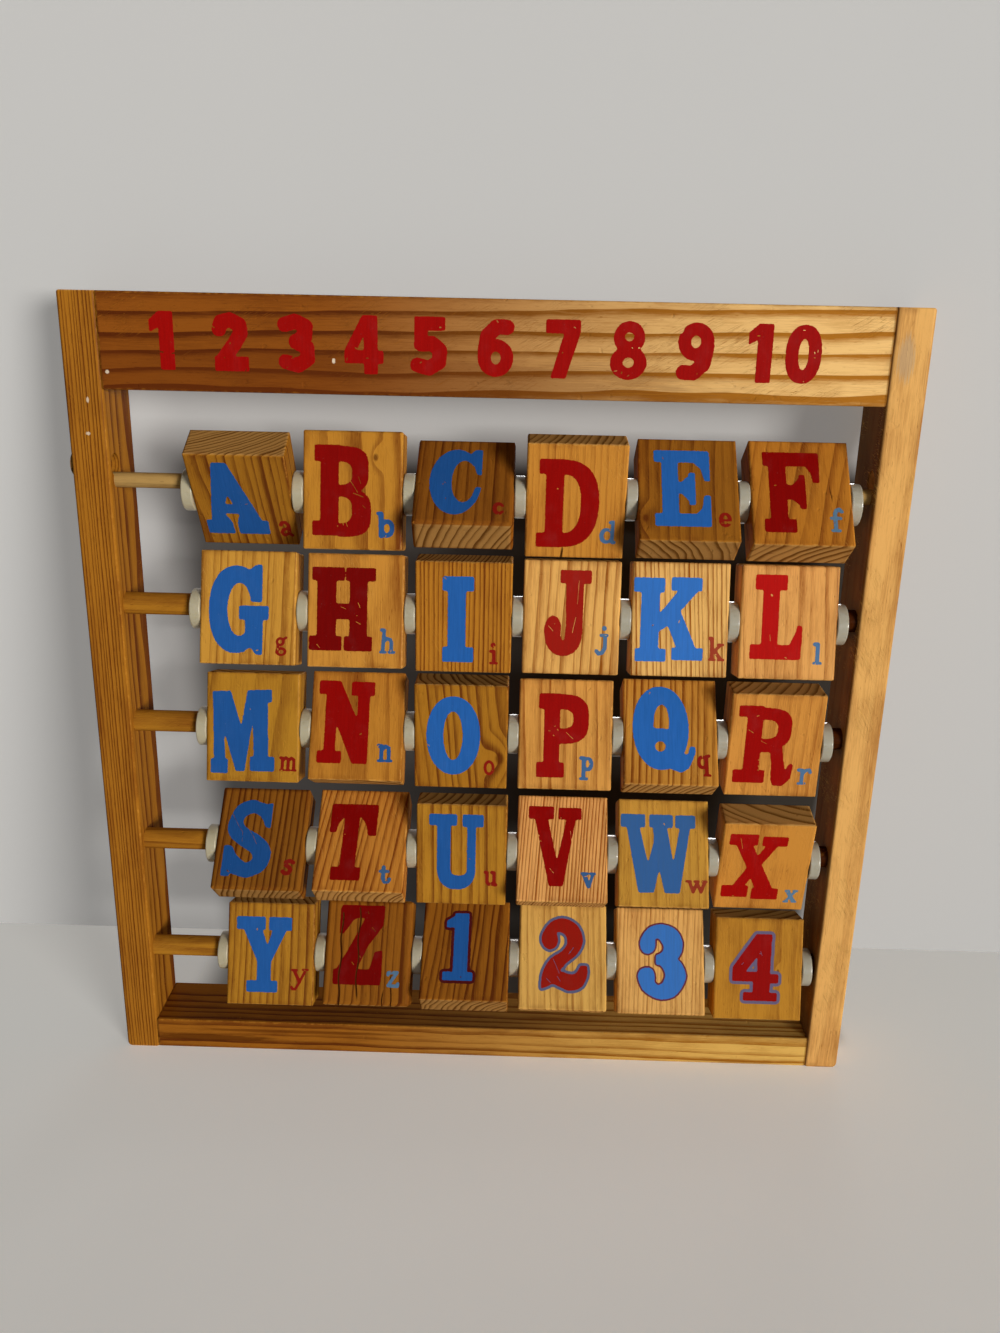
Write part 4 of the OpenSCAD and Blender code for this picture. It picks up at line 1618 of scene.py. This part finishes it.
def make_floor():
    bpy.ops.mesh.primitive_plane_add(size=FLOOR_SIZE, location=(0, 0, 0))
    floor = bpy.context.object
    floor.name = "floor"
    m = stage_paint(
        "floor_paint", FLOOR, glow=0.28, cloud=((60, 60, 60), 91, 3.0), end=(80, 150), depth=0.85,
        Roughness=0.8, Specular_IOR_Level=0.0,
    )
    floor.data.materials.append(m.data)
    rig.stage(floor)


# The toy leans on a wall in the photograph. Seen from the toy the wall leans over it: its foot is
# behind the toy's and it meets the top rail's back.
WALL_FOOT = 78.6 * MM
WALL_LEAN = math.radians(12.3)
WALL_HEIGHT = 1.4
WALL_HALF_WIDTH = 2.0


def make_wall():
    """A backdrop for the front views: it is clear from behind and takes no light from the toy."""
    rise = Vector((0, -math.sin(WALL_LEAN), math.cos(WALL_LEAN))) * WALL_HEIGHT
    corners = []
    for x in (-WALL_HALF_WIDTH, WALL_HALF_WIDTH):
        foot = Vector((x, WALL_FOOT, 0))
        corners += [foot, foot + rise]
    data = bpy.data.meshes.new("wall")
    data.from_pydata(corners, [], [(0, 2, 3, 1)])
    wall = placed("wall", data)
    m = stage_paint(
        "wall_paint", WALL, glow=0.58, cloud=((90, 90, 90), 92, 2.0), end=(150, 160), depth=0.95,
        Roughness=0.8, Specular_IOR_Level=0.1,
    )
    clear = m.node("ShaderNodeBsdfTransparent")
    behind = m.node("ShaderNodeNewGeometry", out=6)
    both = m.node("ShaderNodeMixShader", behind, Signal(m, m.shader.outputs[0]), clear)
    m.feed(m.tree.nodes["Material Output"].inputs[0], both)
    data.materials.append(m.data)
    wall.visible_diffuse = False
    wall.visible_glossy = False
    wall.visible_transmission = False
    wall.visible_shadow = False
    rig.stage(wall)


def background(tree, colour, level):
    node = tree.nodes.new("ShaderNodeBackground")
    node.inputs["Color"].default_value = colour
    node.inputs["Strength"].default_value = level
    return node.outputs[0]


def make_world():
    """A dim room that lights the toy, and a pale one that the camera sees."""
    world = bpy.data.worlds.new("studio")
    bpy.context.scene.world = world
    world.use_nodes = True
    tree = world.node_tree
    tree.nodes.clear()
    light = background(tree, ROOM_LIGHT, ROOM_LEVEL)
    seen = background(tree, PALE, 1.0)
    blend = tree.nodes.new("ShaderNodeMixShader")
    tree.links.new(seen_rays(tree), blend.inputs[0])
    tree.links.new(light, blend.inputs[1])
    tree.links.new(seen, blend.inputs[2])
    out = tree.nodes.new("ShaderNodeOutputWorld")
    tree.links.new(blend.outputs[0], out.inputs[0])


# The lamps aim at the toy's middle
AIM = Vector((0, 0, 0.14))


def soft_light(name, place, spread, level, colour=(1, 1, 1)):
    """Even light from the direction of place; spread is the width in degrees that it comes from.

    level is what a white face turned to it reflects.
    """
    data = bpy.data.lights.new(name, "SUN")
    data.angle = math.radians(spread)
    data.color = colour
    data.energy = level * math.pi
    lamp = placed(name, data)
    lamp.location = place
    lamp.rotation_euler = (AIM - Vector(place)).to_track_quat("-Z", "Y").to_euler()


make_floor()
make_wall()
make_world()
soft_light("key", (0.88, -1.14, 0.27), spread=20, level=1.08, colour=(1, 0.985, 0.96))
soft_light("fill", (0.1, -1.4, 0.16), spread=36, level=0.06, colour=(0.97, 0.985, 1))
soft_light("back", (0.3, 1.3, 0.16), spread=30, level=0.42)

bpy.context.scene.view_settings.view_transform = "Standard"

dressed_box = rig.bounds()
with open("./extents.json", "w") as file:
    json.dump({"cad": [list(c) for c in cad_box], "dressed": [list(c) for c in dressed_box]}, file)
